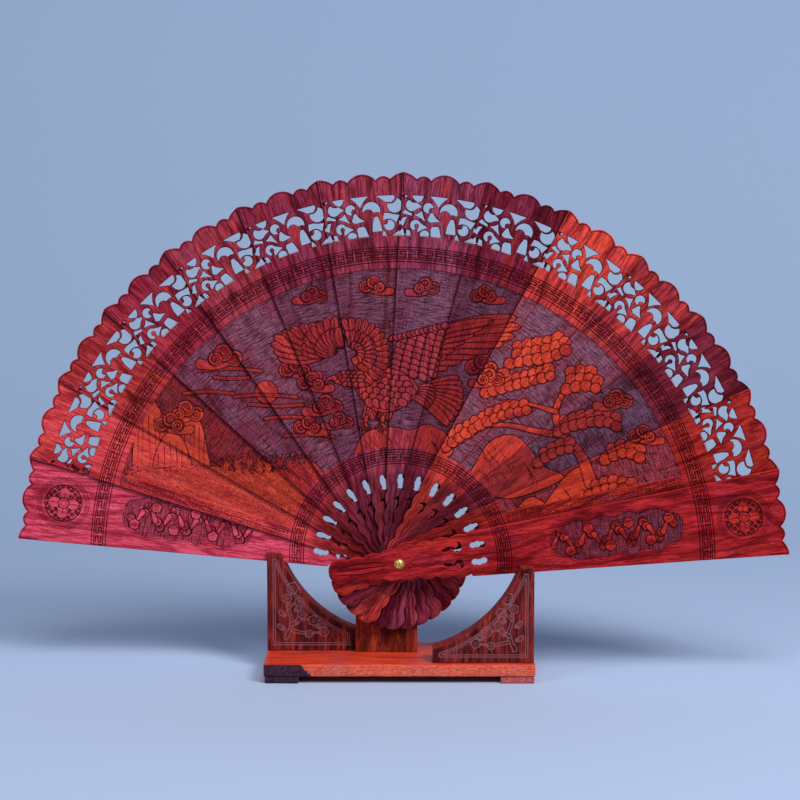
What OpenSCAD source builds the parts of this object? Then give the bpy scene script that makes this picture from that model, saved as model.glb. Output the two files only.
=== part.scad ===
/* [Fan] */
// Radius from the rivet to the tips of the blades' large lobes
fan_r = 200.5; // [198:0.5:203]
// Angle between neighbouring blades when the fan is open, in degrees
spread = 12.55; // [12.4:0.05:12.6]
// How far the open fan is turned clockwise from level, in degrees
fan_turn = 0.6; // [0:0.1:0.8]
// Height of the rivet above the surface the stand is on
pivot_z = 60; // [59.7:0.1:61]
// Thickness of an inner blade
blade_t = 1.55; // [1.2:0.05:1.6]
// Thickness of each of the two outer guards
guard_t = 2.5; // [2:0.1:2.5]
// Free gap between neighbouring blades
blade_gap = 0.2; // [0.15:0.05:0.25]

/* [Blade outline] */
// Half the width of a blade at the rivet
root_half_w = 9; // [8:0.5:9.5]
// Growth of that half width for each millimetre towards the rim
flare = 0.067; // [0.06:0.001:0.068]
// Half the width of a blade's head, at its end
head_half_w = 6.4; // [5:0.2:7]
// Reach of the head beyond the rivet
head_r = 36.7; // [34:0.1:36.8]
// Depth of the lobes along the rim
lobe_h = 3.6; // [2.5:0.1:4]

/* [Openwork] */
// Inner radius of the pierced border
open_in_r = 168; // [166:0.5:170]
// Outer radius of the pierced border
open_out_r = 188.5; // [187:0.5:189]

/* [Rivet and thread] */
// Radius of the rivet's shank
shank_r = 1.6; // [1.4:0.1:1.8]
// Radial clearance between the shank and the blades
shank_clear = 0.05; // [0.03:0.01:0.08]
// Radius of the rivet's domed head
dome_r = 2.65; // [2.4:0.05:3]
// Height of the domed head
dome_h = 1.3; // [1:0.1:1.6]
// Diameter of the thread that ties the blades
thread_d = 0.5; // [0.4:0.05:0.5]

/* [Stand] */
// Length of the base plank
plank_w = 139; // [139:1:150]
// Depth of the base plank, front to back
plank_d = 54; // [52:1:60]
// Thickness of the base plank
plank_t = 6.4; // [6:0.1:7]
// Height of the two feet
foot_h = 3.6; // [3:0.1:4]
// Length of each foot
foot_w = 17.3; // [15:0.1:20]
// Thickness of each bracket, front to back
bracket_t = 12.8; // [12:0.1:14]
// Thick wall of a bracket, on one side of its notch
thick_wall = 7.5; // [7:0.1:8]
// Thin wall of a bracket, on the other side of its notch
thin_wall = 2.2; // [2:0.1:2.4]
// Height of the left bracket
left_bracket_h = 52; // [51:0.5:53]
// Height of the right bracket
right_bracket_h = 49.5; // [49:0.5:51]

/* [Hidden] */
$fn = 96;
BLADES = 14;
INNER = [for (k = [2:BLADES - 1]) k];

// Two digits, so that the blades' names sort in order
function number(k) = str(k < 10 ? "0" : "", k);
function blade_name(k) = str("blade_", number(k));
function thread_name(k) = str("tie_thread_", number(k));

EPS = 0.01;
REACH = 400;

// Front to back, -Y is the front. Blade 1 is the rear guard and blade 14 the front guard.
PITCH = blade_t + blade_gap;
STACK_FRONT = -15.7;
SHANK_L = 2 * guard_t + (BLADES - 2) * PITCH + blade_gap;
STACK_BACK = STACK_FRONT + SHANK_L;
function back_y(k) =
    k == BLADES ? STACK_FRONT + guard_t :
    k == 1 ? STACK_BACK :
    STACK_FRONT + guard_t + blade_gap + blade_t + (BLADES - 1 - k) * PITCH;
// Turn of a blade's centre line from straight up, clockwise seen from the front
function turn(k) = (k - (BLADES + 1) / 2) * spread + fan_turn;

// Blade outline, with the rivet at the origin and the rim at +Y
VALLEY = fan_r - 0.5 - lobe_h;
BIG_LOBE = 14.6;
SMALL_LOBE = 7.3;
SMALL_RISE = 1.8;
EDGE_RISE = 2.8;
HEAD_TAPER_END = 18;
// Scallops along the sides of the head and neck
SCALLOPS = [-31, -22, -13, -4, 5, 14, 23, 32];
SCALLOP_R = 8;
SCALLOP_H = 1.1;
SCALLOP_END = 36;
SCALLOP_EASE = 0.6;
function half_w(v) = v > 0 ? root_half_w + flare * v :
    root_half_w + (head_half_w - root_half_w) * min(-v / HEAD_TAPER_END, 1);
function arc_r(width, rise) = (width * width / 4 + rise * rise) / (2 * rise);

// Pierced border
CUSP = 0.4;

// Neck piercings
CLOUD_ROWS = [38.7, 41, 43.3];
CLOUD_OUT = [4.3, 4.7, 4.2];
CLOUD_R = 1.75;
CURL_AT = [4.6, 30.4];
CURL_R = 2.6;
BALL_AT = [5.8, 29.6];
BALL_R = 1.5;
LEAF_IN = [3.3, 21.9];
LEAF_OUT = [4.8, 28];
LEAF_W = 2.2;

// Engraved lines round the blades
LINE_W = 0.5;
LINE_DEPTH = 0.3;
LINES = [50.5, 57.7, 154.6, 162];

// Rear cap of the rivet
CAP_R = 3;
CAP_T = 1;
CAP_DOME = 0.8;

// Thread groove in the blades' backs
THREAD_R = 168.6;
GROOVE_W = 0.7;
GROOVE_D = 0.55;
THREAD_SPAN = 12;

// Stand
PLANK_TOP = foot_h + plank_t;
BRACKET_W = 52;
LEFT_INNER_X = -23;
LEFT_INNER_H = 11.2;
RIGHT_INNER_H = 7.6;
TIP_W = 7.2;
SWEEP_R = 66;
REST_GAP = 0.3;
SIDE_GAP = 0.3;
LEFT_FRONT = STACK_BACK - guard_t - SIDE_GAP - thin_wall;
RIGHT_FRONT = STACK_FRONT - SIDE_GAP - thick_wall;
RIGHT_NOTCH = [STACK_FRONT - SIDE_GAP, RIGHT_FRONT + bracket_t];
LEFT_NOTCH = [STACK_BACK - guard_t - SIDE_GAP, STACK_BACK + SIDE_GAP];
BLOCK_X = [LEFT_INNER_X, 9.4];
BLOCK_Y = [2, 16];
BLOCK_TOP = 36;
SADDLE_R = head_r + 0.5;
FOOT_INSET = 0.5;
DOWEL_R = 2;
DOWEL_DOWN = 4;
DOWEL_UP = 6;
// Where the dowels stand: under the left bracket, the rest block and the right bracket
DOWELS = [
    [-60, LEFT_FRONT + bracket_t / 2],
    [-34, LEFT_FRONT + bracket_t / 2],
    [-14, 9],
    [0, 9],
    [26, RIGHT_FRONT + bracket_t / 2],
    [60, RIGHT_FRONT + bracket_t / 2]
];

RED = [0.55, 0.08, 0.07];
CRIMSON = [0.62, 0.10, 0.14];
ORANGE = [0.72, 0.20, 0.10];
MAROON = [0.34, 0.05, 0.08];
BROWN = [0.36, 0.10, 0.07];
TINTS = [CRIMSON, ORANGE, RED, CRIMSON, ORANGE, MAROON, RED, CRIMSON, MAROON, ORANGE, RED, MAROON, ORANGE, RED];

// ---- Openings of the pierced border, in a blade's own plane ----

// The disc that hollows the side from a to b by depth, with its middle to the right of that side
module bite(a, b, depth) {
    side = b - a;
    length = norm(side);
    out = [side[1], -side[0]] / length;
    r = arc_r(length + CUSP, depth);
    translate((a + b) / 2 + (r - depth) * out) circle(r);
}

// A patch, its corners given counterclockwise. Side i is hollowed by bites[i], or straight for 0.
module gap(points, bites) {
    difference() {
        polygon(points);
        for (i = [0:len(points) - 1])
            if (bites[i] > 0)
                bite(points[i], points[(i + 1) % len(points)], bites[i]);
    }
}

module dot(x, v, r) {
    translate([x, v]) circle(r);
}

// Gaps between the scrolls and the outer band
module upper_openings() {
    gap([[-12.6, 184.9], [-11.1, 186], [-9.6, 190], [-17.4, 190], [-14.9, 186.4]], [0, 0, 0, 0.2, 0]);
    gap([[-2, 183.4], [4.8, 190], [-9, 190]], [0.9, 0, 0.7]);
    gap([[11.2, 185.2], [14.2, 184.9], [15.7, 186.3], [15.7, 190], [4.2, 190]], [0, 0, 0, 0, 0.3]);
    gap([[-19.8, 186.3], [-18.2, 188], [-21.2, 188]], [0, 0, 0]);
}

// The eyes of the scrolls, each with its balls and hooks left standing
module eyes() {
    // Left and right C-scrolls
    difference() {
        union() {
            dot(-15.6, 182.9, 2.7);
            polygon([[-15.6, 180.2], [-10.9, 182.7], [-15, 185.2]]);
        }
        dot(-14.6, 187.5, 3.3);
    }
    difference() {
        dot(15.7, 182.8, 3.5);
        dot(13.8, 187.3, 3.5);
    }
    // Small ring
    difference() {
        dot(-7.1, 182.4, 2.3);
        dot(-5.3, 181.2, 1.5);
    }
    // Middle arch over the trunk's ball
    difference() {
        dot(3.6, 181.1, 4.2);
        dot(1.8, 179.2, 2.8);
        dot(5.9, 177, 3.3);
    }
    // Right volute
    difference() {
        dot(12, 173, 2.4);
        dot(10, 174.9, 1.5);
    }
    // Left volute, which runs on into the S-scroll
    difference() {
        union() {
            dot(-12.6, 173, 2.4);
            gap([[-12.4, 170.8], [-10.9, 170], [-6.8, 172.4], [-12.2, 175.4]], [0, 0.2, 0.2, 0]);
        }
        dot(-12, 172.7, 1.2);
        translate([-12.8, 169.6]) square([1.6, 2.6]);
    }
    // Half moon at the foot
    dot(-7.4, 168.5, 2.1);
}

// Gaps between the scrolls, from the top down
module inner_openings() {
    gap([[-19.6, 178.6], [-15.3, 177.9], [-15.5, 178.6], [-18.8, 180]], [0, 0, 0.2, 0]);
    gap([[19, 178.3], [24, 177], [24, 178.4], [20.3, 180]], [0, 0, 0, 0.2]);
    gap([[-13.2, 178.2], [-8.4, 175.9], [-10.3, 180.2]], [0.3, 0.2, 0.3]);
    gap([[-6.5, 176.4], [-5.2, 175.5], [-0.9, 176.3], [-4.6, 180], [-5.4, 179.7]], [0, 0, 0.5, 0, 0]);
    gap([[3.5, 170.6], [8, 170.6], [7.2, 175], [6.3, 177.6], [5.1, 177.5], [3.9, 174.4]], [0, 0, 0, 0, 0, 0]);
    gap([[9.4, 176], [15.5, 174.3], [17.3, 177.5], [12.3, 178.9], [10, 179]], [1.3, 0, 0.2, 0, 0]);
    gap([[-20.5, 173.2], [-18.9, 172.4], [-17.8, 176.4], [-18.8, 176.6]], [0, 0.2, 0, 0]);
    gap([[17.5, 172.6], [18.8, 171.8], [21.2, 176], [18.9, 176], [17.4, 174.2]], [0, 0.2, 0, 0, 0]);
    gap([[-4, 166], [2.4, 166], [-0.3, 171.8], [-1.2, 173.2], [-3.9, 172.8], [-4.4, 171.6]],
        [0, 0.4, 0, 0, 0, 0.2]);
    gap([[7.6, 166.6], [11.6, 166.6], [8.9, 170.1]], [0, 0.2, 0.1]);
    gap([[13, 167.4], [19, 165], [18.6, 170.4]], [0, 0, 0]);
    gap([[-21.6, 166], [-13.4, 166], [-15.4, 169.8], [-19, 170.2]], [0, 0.2, 0, 0]);
}

module border_window() {
    difference() {
        circle(open_out_r);
        circle(open_in_r);
    }
}

module openwork() {
    intersection() {
        border_window();
        union() {
            upper_openings();
            eyes();
            inner_openings();
        }
    }
}

// ---- Blade outline and piercings ----

module rim_lobes() {
    big_r = arc_r(BIG_LOBE, lobe_h);
    small_r = arc_r(SMALL_LOBE, SMALL_RISE);
    edge_half = half_w(fan_r);
    edge_r = arc_r(2 * (edge_half - BIG_LOBE / 2 - SMALL_LOBE), EDGE_RISE);
    translate([0, VALLEY + lobe_h - big_r]) circle(big_r);
    for (side = [-1, 1]) {
        translate([side * (BIG_LOBE + SMALL_LOBE) / 2, VALLEY + SMALL_RISE - small_r]) circle(small_r);
        translate([side * edge_half, VALLEY + EDGE_RISE - edge_r]) circle(edge_r);
    }
    translate([-fan_r / 2, -head_r]) square([fan_r, VALLEY + head_r]);
}

// One side of the blade; the head and neck are narrower by the height of the scallops
function flank(side) = [
    for (p = [
        [head_half_w - SCALLOP_H, -head_r - 1],
        [head_half_w - SCALLOP_H, -HEAD_TAPER_END],
        [root_half_w - SCALLOP_H, 0],
        [half_w(SCALLOP_END) - SCALLOP_H, SCALLOP_END],
        [half_w(SCALLOP_END + SCALLOP_EASE), SCALLOP_END + SCALLOP_EASE],
        [half_w(fan_r + 1), fan_r + 1]
    ])
        [side * p[0], p[1]]
];

module wedge() {
    right = flank(1);
    polygon(concat(right, [for (i = [len(right) - 1:-1:0]) flank(-1)[i]]));
}

module scallops(side) {
    intersection() {
        union() {
            for (v = SCALLOPS)
                translate([side * (half_w(v) - SCALLOP_R), v]) circle(SCALLOP_R);
        }
        translate([side > 0 ? 0 : -fan_r, -fan_r]) square(2 * fan_r * [0.5, 1]);
    }
}

// The head ends in an arc about the rivet, so that the open heads make a round
module head_round() {
    circle(head_r);
    translate([-fan_r, 0]) square([2 * fan_r, 2 * fan_r]);
}

module blade_outline() {
    difference() {
        intersection() {
            rim_lobes();
            union() {
                wedge();
                scallops(-1);
                scallops(1);
            }
            head_round();
        }
        circle(shank_r + shank_clear);
    }
}

module neck_piercings() {
    for (side = [-1, 1]) {
        for (i = [0:len(CLOUD_ROWS) - 1])
            dot(side * CLOUD_OUT[i], CLOUD_ROWS[i], CLOUD_R);
        difference() {
            dot(side * CURL_AT[0], CURL_AT[1], CURL_R);
            dot(side * BALL_AT[0], BALL_AT[1], BALL_R);
        }
        leaf(side);
    }
}

// A leaf with two curved edges that meet in a point at each end
module leaf(side) {
    from = [side * LEAF_IN[0], LEAF_IN[1]];
    to = [side * LEAF_OUT[0], LEAF_OUT[1]];
    edge_r = arc_r(norm(to - from), LEAF_W / 2);
    translate((from + to) / 2)
        rotate(atan2(to[1] - from[1], to[0] - from[0]))
            intersection() {
                translate([0, LEAF_W / 2 - edge_r]) circle(edge_r);
                translate([0, edge_r - LEAF_W / 2]) circle(edge_r);
            }
}

// ---- Placing ----

// Sets a flat outline upright at blade k's angle, with its back face where that blade's is
module stand_up(k, thickness) {
    translate([0, 0, pivot_z])
        rotate([0, turn(k), 0])
            translate([0, back_y(k), 0])
                rotate([90, 0, 0])
                    linear_extrude(thickness) children();
}

// Grooves cut round the rivet into the front face of blade k
module engraved_lines(k, thickness) {
    translate([0, back_y(k) - thickness, pivot_z])
        rotate([90, 0, 0])
            translate([0, 0, -LINE_DEPTH])
                linear_extrude(LINE_DEPTH + EPS)
                    for (r = LINES)
                        difference() {
                            circle(r + LINE_W / 2);
                            circle(r - LINE_W / 2);
                        }
}

// A ring section about the rivet, at the back of blade k
module back_arc(k, span) {
    translate([0, back_y(k), pivot_z])
        rotate([0, turn(k), 0])
            rotate([-90, 0, 0])
                rotate([0, 0, -90 - span / 2])
                    rotate_extrude(angle = span) children();
}

module thread_groove(k) {
    translate([0, back_y(k), pivot_z])
        rotate([-90, 0, 0])
            rotate_extrude()
                translate([THREAD_R - GROOVE_W / 2, -GROOVE_D]) square([GROOVE_W, GROOVE_D + EPS]);
}

// ---- The fan ----

module inner_blade(k) {
    color(TINTS[k - 1])
        difference() {
            stand_up(k, blade_t)
                difference() {
                    blade_outline();
                    openwork();
                    neck_piercings();
                }
            engraved_lines(k, blade_t);
            thread_groove(k);
        }
}

module guard(k) {
    color(TINTS[k - 1])
        difference() {
            stand_up(k, guard_t)
                difference() {
                    blade_outline();
                    neck_piercings();
                }
            engraved_lines(k, guard_t);
        }
}

module guard_front() {
    guard(BLADES);
}

module guard_rear() {
    guard(1);
}

module tie_thread(k) {
    color("wheat")
        back_arc(k, THREAD_SPAN)
            translate([THREAD_R, -thread_d / 2 - EPS]) circle(thread_d / 2);
}

// A cap of a sphere standing on a flat face, pointing along +Z
module dome(r, h) {
    ball = arc_r(2 * r, h);
    intersection() {
        translate([0, 0, h - ball]) sphere(ball);
        cylinder(r = r + 1, h = h + 1);
    }
}

module rivet() {
    color("goldenrod")
        translate([0, STACK_FRONT, pivot_z])
            rotate([90, 0, 0]) {
                dome(dome_r, dome_h);
                translate([0, 0, -SHANK_L - CAP_T]) cylinder(r = shank_r, h = SHANK_L + CAP_T + EPS);
            }
}

module rivet_rear_cap() {
    color("goldenrod")
        translate([0, STACK_BACK, pivot_z])
            rotate([-90, 0, 0])
                difference() {
                    union() {
                        cylinder(r = CAP_R, h = CAP_T);
                        translate([0, 0, CAP_T]) dome(CAP_R, CAP_DOME);
                    }
                    translate([0, 0, -EPS]) cylinder(r = shank_r, h = CAP_T + EPS);
                }
}

// ---- The stand ----

module base_plank() {
    color(ORANGE)
        difference() {
            translate([-plank_w / 2, -plank_d / 2, foot_h]) cube([plank_w, plank_d, plank_t]);
            dowel_holes();
        }
}

module foot(side) {
    centre = side * (plank_w / 2 - FOOT_INSET - foot_w / 2);
    color(CRIMSON)
        translate([centre - foot_w / 2, FOOT_INSET - plank_d / 2, 0])
            cube([foot_w, plank_d - 2 * FOOT_INSET, foot_h]);
}

module foot_left() {
    foot(-1);
}

module foot_right() {
    foot(1);
}

// Side view of a bracket: outer side at x = 0, a hollow curve from the tip to the inner end
module bracket_profile(width, height, inner_h) {
    tip = [TIP_W, height];
    inner = [width, inner_h];
    chord = norm(inner - tip);
    along = (inner - tip) / chord;
    centre = (tip + inner) / 2 + sqrt(SWEEP_R * SWEEP_R - chord * chord / 4) * [-along[1], along[0]];
    difference() {
        polygon([[0, 0], [width, 0], inner, tip, [0, height]]);
        translate(centre) circle(SWEEP_R);
    }
}

module bracket_left() {
    color(BROWN)
        difference() {
            translate([-plank_w / 2, LEFT_FRONT + bracket_t, PLANK_TOP])
                rotate([90, 0, 0])
                    linear_extrude(bracket_t)
                        bracket_profile(plank_w / 2 + LEFT_INNER_X, left_bracket_h, LEFT_INNER_H);
            edge_room(1, -1, LEFT_NOTCH);
            dowel_holes();
        }
}

module bracket_right() {
    color(BROWN)
        difference() {
            translate([plank_w / 2 - FOOT_INSET, RIGHT_FRONT + bracket_t, PLANK_TOP])
                mirror([1, 0, 0])
                    rotate([90, 0, 0])
                        linear_extrude(bracket_t)
                            bracket_profile(BRACKET_W, right_bracket_h, RIGHT_INNER_H);
            edge_room(BLADES, 1, RIGHT_NOTCH);
            dowel_holes();
        }
}

// Everything on and above the lower edge of guard k, between two depths
module edge_room(k, side, depths) {
    slope = 90 - side * turn(k) - atan(flare);
    drop = root_half_w * cos(atan(flare)) + REST_GAP;
    translate([0, depths[0], pivot_z])
        rotate([0, -side * slope, 0])
            translate([side > 0 ? 0 : -REACH, 0, -drop])
                cube([REACH, depths[1] - depths[0] + EPS, REACH]);
}

module rest_block() {
    color(RED)
        difference() {
            translate([BLOCK_X[0], BLOCK_Y[0], PLANK_TOP])
                cube([BLOCK_X[1] - BLOCK_X[0], BLOCK_Y[1] - BLOCK_Y[0], BLOCK_TOP - PLANK_TOP]);
            translate([0, BLOCK_Y[0] - 1, pivot_z])
                rotate([-90, 0, 0])
                    cylinder(r = SADDLE_R, h = BLOCK_Y[1] - BLOCK_Y[0] + 2);
            dowel_holes();
        }
}

module dowel_holes() {
    for (at = DOWELS)
        translate([at[0], at[1], PLANK_TOP - DOWEL_DOWN])
            cylinder(r = DOWEL_R, h = DOWEL_DOWN + DOWEL_UP);
}

module dowels() {
    color("burlywood") dowel_holes();
}

base_plank();
foot_left();
foot_right();
bracket_left();
bracket_right();
rest_block();
dowels();
guard_front();
rivet();
rivet_rear_cap();
guard_rear();
for (k = INNER) {
    inner_blade(k);
    tie_thread(k);
}
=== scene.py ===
"""A carved wooden folding fan, open on its stand."""

import math

import bpy
import numpy as np
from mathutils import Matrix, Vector
from mathutils.geometry import delaunay_2d_cdt


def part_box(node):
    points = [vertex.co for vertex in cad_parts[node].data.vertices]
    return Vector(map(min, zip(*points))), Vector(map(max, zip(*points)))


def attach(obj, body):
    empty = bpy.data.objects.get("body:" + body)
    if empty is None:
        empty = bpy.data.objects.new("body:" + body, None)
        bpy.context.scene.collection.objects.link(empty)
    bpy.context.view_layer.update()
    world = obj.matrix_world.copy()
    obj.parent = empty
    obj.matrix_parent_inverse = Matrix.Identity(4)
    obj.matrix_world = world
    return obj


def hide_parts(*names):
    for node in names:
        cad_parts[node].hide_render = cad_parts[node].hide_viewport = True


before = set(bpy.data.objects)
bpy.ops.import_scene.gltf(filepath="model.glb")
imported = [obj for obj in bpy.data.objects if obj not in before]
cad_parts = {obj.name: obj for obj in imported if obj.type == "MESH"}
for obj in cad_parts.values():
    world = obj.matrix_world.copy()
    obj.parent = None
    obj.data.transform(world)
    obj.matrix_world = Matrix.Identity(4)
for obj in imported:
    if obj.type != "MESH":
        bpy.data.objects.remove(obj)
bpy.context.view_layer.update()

MM = 0.001

# ---- Sizes shared with the CAD, in millimetres and degrees ----

BLADES = 14
# The rim's reach from the rivet, the turn from blade to blade, the whole fan's lean and the rivet's height
FAN_R = 200.5
SPREAD = 12.55
FAN_TURN = 0.6
PIVOT_Z = 60.0
# A blade is ROOT_HALF_W wide each side at the rivet, and FLARE wider for each millimetre further out
ROOT_HALF_W = 9.0
FLARE = 0.067
# Its head, below the rivet, reaches to HEAD_R and narrows to HEAD_HALF_W each side over HEAD_TAPER_END
HEAD_HALF_W = 6.4
HEAD_R = 36.7
HEAD_TAPER_END = 18.0
SHANK_R = 1.6
BORE_R = 1.65
# The rim: a big lobe in the middle, a small one on each side and half a lobe at each edge
LOBE_H = 3.6
VALLEY = FAN_R - 0.5 - LOBE_H
BIG_LOBE, SMALL_LOBE, SMALL_RISE, EDGE_RISE = 14.6, 7.3, 1.8, 2.8
# The pierced border lies between these two radii
OPEN_IN_R = 168.0
OPEN_OUT_R = 188.5
# Scallops along the sides of the head and neck, and the neck's three kinds of hole
SCALLOPS = (-31, -22, -13, -4, 5, 14, 23, 32)
SCALLOP_R, SCALLOP_H, SCALLOP_END, SCALLOP_EASE = 8.0, 1.1, 36.0, 0.6
CLOUD_HOLES = ((4.3, 38.7), (4.7, 41.0), (4.2, 43.3))
CLOUD_R = 1.75
CURL_AT, CURL_R = (4.6, 30.4), 2.6
BALL_AT, BALL_R = (5.8, 29.6), 1.5
LEAF_IN, LEAF_OUT, LEAF_W = (3.3, 21.9), (4.8, 28.0), 2.2
# The tie thread's radius about the rivet, the degrees that one stretch spans, and its groove
THREAD_R = 168.6
THREAD_SPAN = 12.0
GROOVE_HALF = 0.42


def turn(k):
    """Turn of blade k's centre line from straight up, clockwise seen from the front, in radians."""
    return math.radians((k - (BLADES + 1) / 2) * SPREAD + FAN_TURN)


def node_of(k):
    return {1: "guard_rear", BLADES: "guard_front"}.get(k, f"blade_{k:02d}")


def body_for(k):
    return {1: "rear_guard", BLADES: "front_guard"}.get(k, f"blade_{k:02d}")


def depth_range(node):
    """Front and back of a CAD node, in mm."""
    lo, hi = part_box(node)
    return lo.y / MM, hi.y / MM


def smooth_step(x, a, b):
    t = np.clip((x - a) / (b - a), 0, 1)
    return t * t * (3 - 2 * t)


# ---- Plates: any flat outline, carved on both faces ----

SNAP = 0.12  # how near an outline's crossing may come to a grid point, as a share of the step
FULL_MESH = 0  # the triangulation that keeps every given edge
SAME_POINT = 1e-7
INSIDE = 0.15  # how far inside the outline an extra point on the back has to be
SHARP_ANGLE = math.radians(48)
BACK_GRAIN = 3  # how deep in the grain the back's pattern is taken, in mm


def trace(points, value):
    """The part of a curved grid where value is positive: points, polygons and the outline's edges."""
    inside = value > 0
    count = int(inside.sum())
    node = np.full(value.shape, -1)
    node[inside] = np.arange(count)
    out = [points[inside]]
    crossings = []
    for axis in (1, 0):
        first = (slice(None), slice(None, -1)) if axis else (slice(None, -1), slice(None))
        second = (slice(None), slice(1, None)) if axis else (slice(1, None), slice(None))
        crossed = inside[first] != inside[second]
        ids = np.full(crossed.shape, -1)
        ids[crossed] = count + np.arange(int(crossed.sum()))
        count += int(crossed.sum())
        a, b = value[first][crossed], value[second][crossed]
        t = np.clip(a / (a - b), SNAP, 1 - SNAP)[:, None]
        out.append(points[first][crossed] * (1 - t) + points[second][crossed] * t)
        crossings.append(ids)
    along, up = crossings
    slots = np.stack([node[:-1, :-1], along[:-1], node[:-1, 1:], up[:, 1:], node[1:, 1:], along[1:],
                      node[1:, :-1], up[:, :-1]], -1).reshape(-1, 8)
    slots = slots[(slots[:, ::2] >= 0).any(1)]
    used = slots >= 0
    loops = slots[used]
    sizes = used.sum(1)
    starts = np.concatenate([[0], np.cumsum(sizes)[:-1]])
    following = np.arange(len(loops)) + 1
    following[starts + sizes - 1] = starts
    inner = int(inside.sum())
    rim = (loops >= inner) & (loops[following] >= inner)
    return np.vstack(out), loops, sizes, np.stack([loops[rim], loops[following][rim]], 1), inner


def back_faces(points, edges, inner, value_at, extra):
    """Triangles over the outline's back, through any extra points. Returns all the back's points."""
    rim = points[inner:]
    if len(extra):
        extra = extra[value_at(extra[:, 0], extra[:, 1]) > INSIDE]
    flat = np.vstack([rim, extra]) if len(extra) else rim
    links = [(int(a - inner), int(b - inner)) for a, b in edges]
    corners = [Vector(p) for p in flat.tolist()]
    verts, _, faces, origin, _, _ = delaunay_2d_cdt(corners, links, [], FULL_MESH, SAME_POINT, True)
    tri = np.array([f for f in faces if len(f) == 3])
    spot = np.array([tuple(v) for v in verts])
    # Each output point stands for the given point it came from
    source = np.array([o[0] if o else -1 for o in origin])
    middle = spot[tri].mean(1)
    keep = (value_at(middle[:, 0], middle[:, 1]) > 0) & (source[tri] >= 0).all(1)
    return flat, source[tri[keep]]


def build_mesh(name, verts, loops, sizes, fields, sharp=SHARP_ANGLE):
    """An object from points in millimetres, polygons and the fields that its material reads."""
    mesh = bpy.data.meshes.new(name)
    mesh.vertices.add(len(verts))
    mesh.vertices.foreach_set("co", (np.asarray(verts) * MM).astype(np.float32).ravel())
    mesh.loops.add(len(loops))
    mesh.loops.foreach_set("vertex_index", np.asarray(loops, np.int32))
    mesh.polygons.add(len(sizes))
    starts = np.concatenate([[0], np.cumsum(sizes)[:-1]]).astype(np.int32)
    mesh.polygons.foreach_set("loop_start", starts)
    mesh.polygons.foreach_set("use_smooth", np.ones(len(sizes), bool))
    mesh.update(calc_edges=True)
    mesh.validate()
    for key, data in fields.items():
        data = np.asarray(data, np.float32)
        kind = "FLOAT_VECTOR" if data.ndim == 2 else "FLOAT"
        layer = mesh.attributes.new(key, kind, "POINT")
        layer.data.foreach_set("vector" if data.ndim == 2 else "value", data.ravel())
    mesh.set_sharp_from_angle(angle=sharp)
    obj = bpy.data.objects.new(name, mesh)
    bpy.context.scene.collection.objects.link(obj)
    return obj


def plate(name, grid, value_at, front, back, place, extra=np.zeros((0, 2)), seed=0.0):
    """A solid plate. front(x, z) gives a dict with depth below the front plane and material fields;
    back(x, z) gives the back's; place(x, z, depth, from_back) turns them into world millimetres."""
    value = value_at(grid[..., 0], grid[..., 1])
    points, loops, sizes, edges, inner = trace(grid, value)
    flat, tri = back_faces(points, edges, inner, value_at, extra)
    face = front(points[:, 0], points[:, 1], value_at(points[:, 0], points[:, 1]))
    rear = back(flat[:, 0], flat[:, 1], value_at(flat[:, 0], flat[:, 1]))
    top = place(points[:, 0], points[:, 1], face["depth"], False)
    low = place(flat[:, 0], flat[:, 1], rear["depth"], True)
    base = len(points)
    walls = np.stack([edges[:, 1], edges[:, 0], edges[:, 0] - inner + base, edges[:, 1] - inner + base], 1)
    all_loops = np.concatenate([loops, walls.ravel(), (tri[:, ::-1] + base).ravel()])
    all_sizes = np.concatenate([sizes, np.full(len(walls), 4), np.full(len(tri), 3)])
    grain = np.vstack([np.stack([points[:, 0], points[:, 1], -face["depth"]], 1),
                       np.stack([flat[:, 0], flat[:, 1], rear["depth"] - BACK_GRAIN], 1)])
    fields = {"grain": grain + np.array([seed, 1.7 * seed, 0.0])}
    for key in ("raised", "cut", "edge", "motif"):
        fields[key] = np.concatenate([face.get(key, 0) + 0 * points[:, 0], rear.get(key, 0) + 0 * flat[:, 0]])
    fields["spot"] = np.vstack([points, flat]) @ np.array([[1, 0, 0], [0, 1, 0]])
    return build_mesh(name, np.vstack([top, low]), all_loops, all_sizes, fields)


# ---- Carved relief, drawn on flat panels and sampled by the blades ----

PANEL_STEP = 0.2
# The dark line round a motif is a groove with painted shade in it
OUTLINE = 0.38  # half the width of the dark line round a motif
OUTLINE_OUT = 0.12  # how far outside the motif's edge the line's middle is
EDGE_FALL = 0.5  # over what width a motif's edge is rounded
EDGE_HEIGHT = 0.62  # a motif's height at its edge
CUT_DEPTH = 0.3
CURVE_STEPS = 18
CURL_TURNS = 1.4


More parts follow.
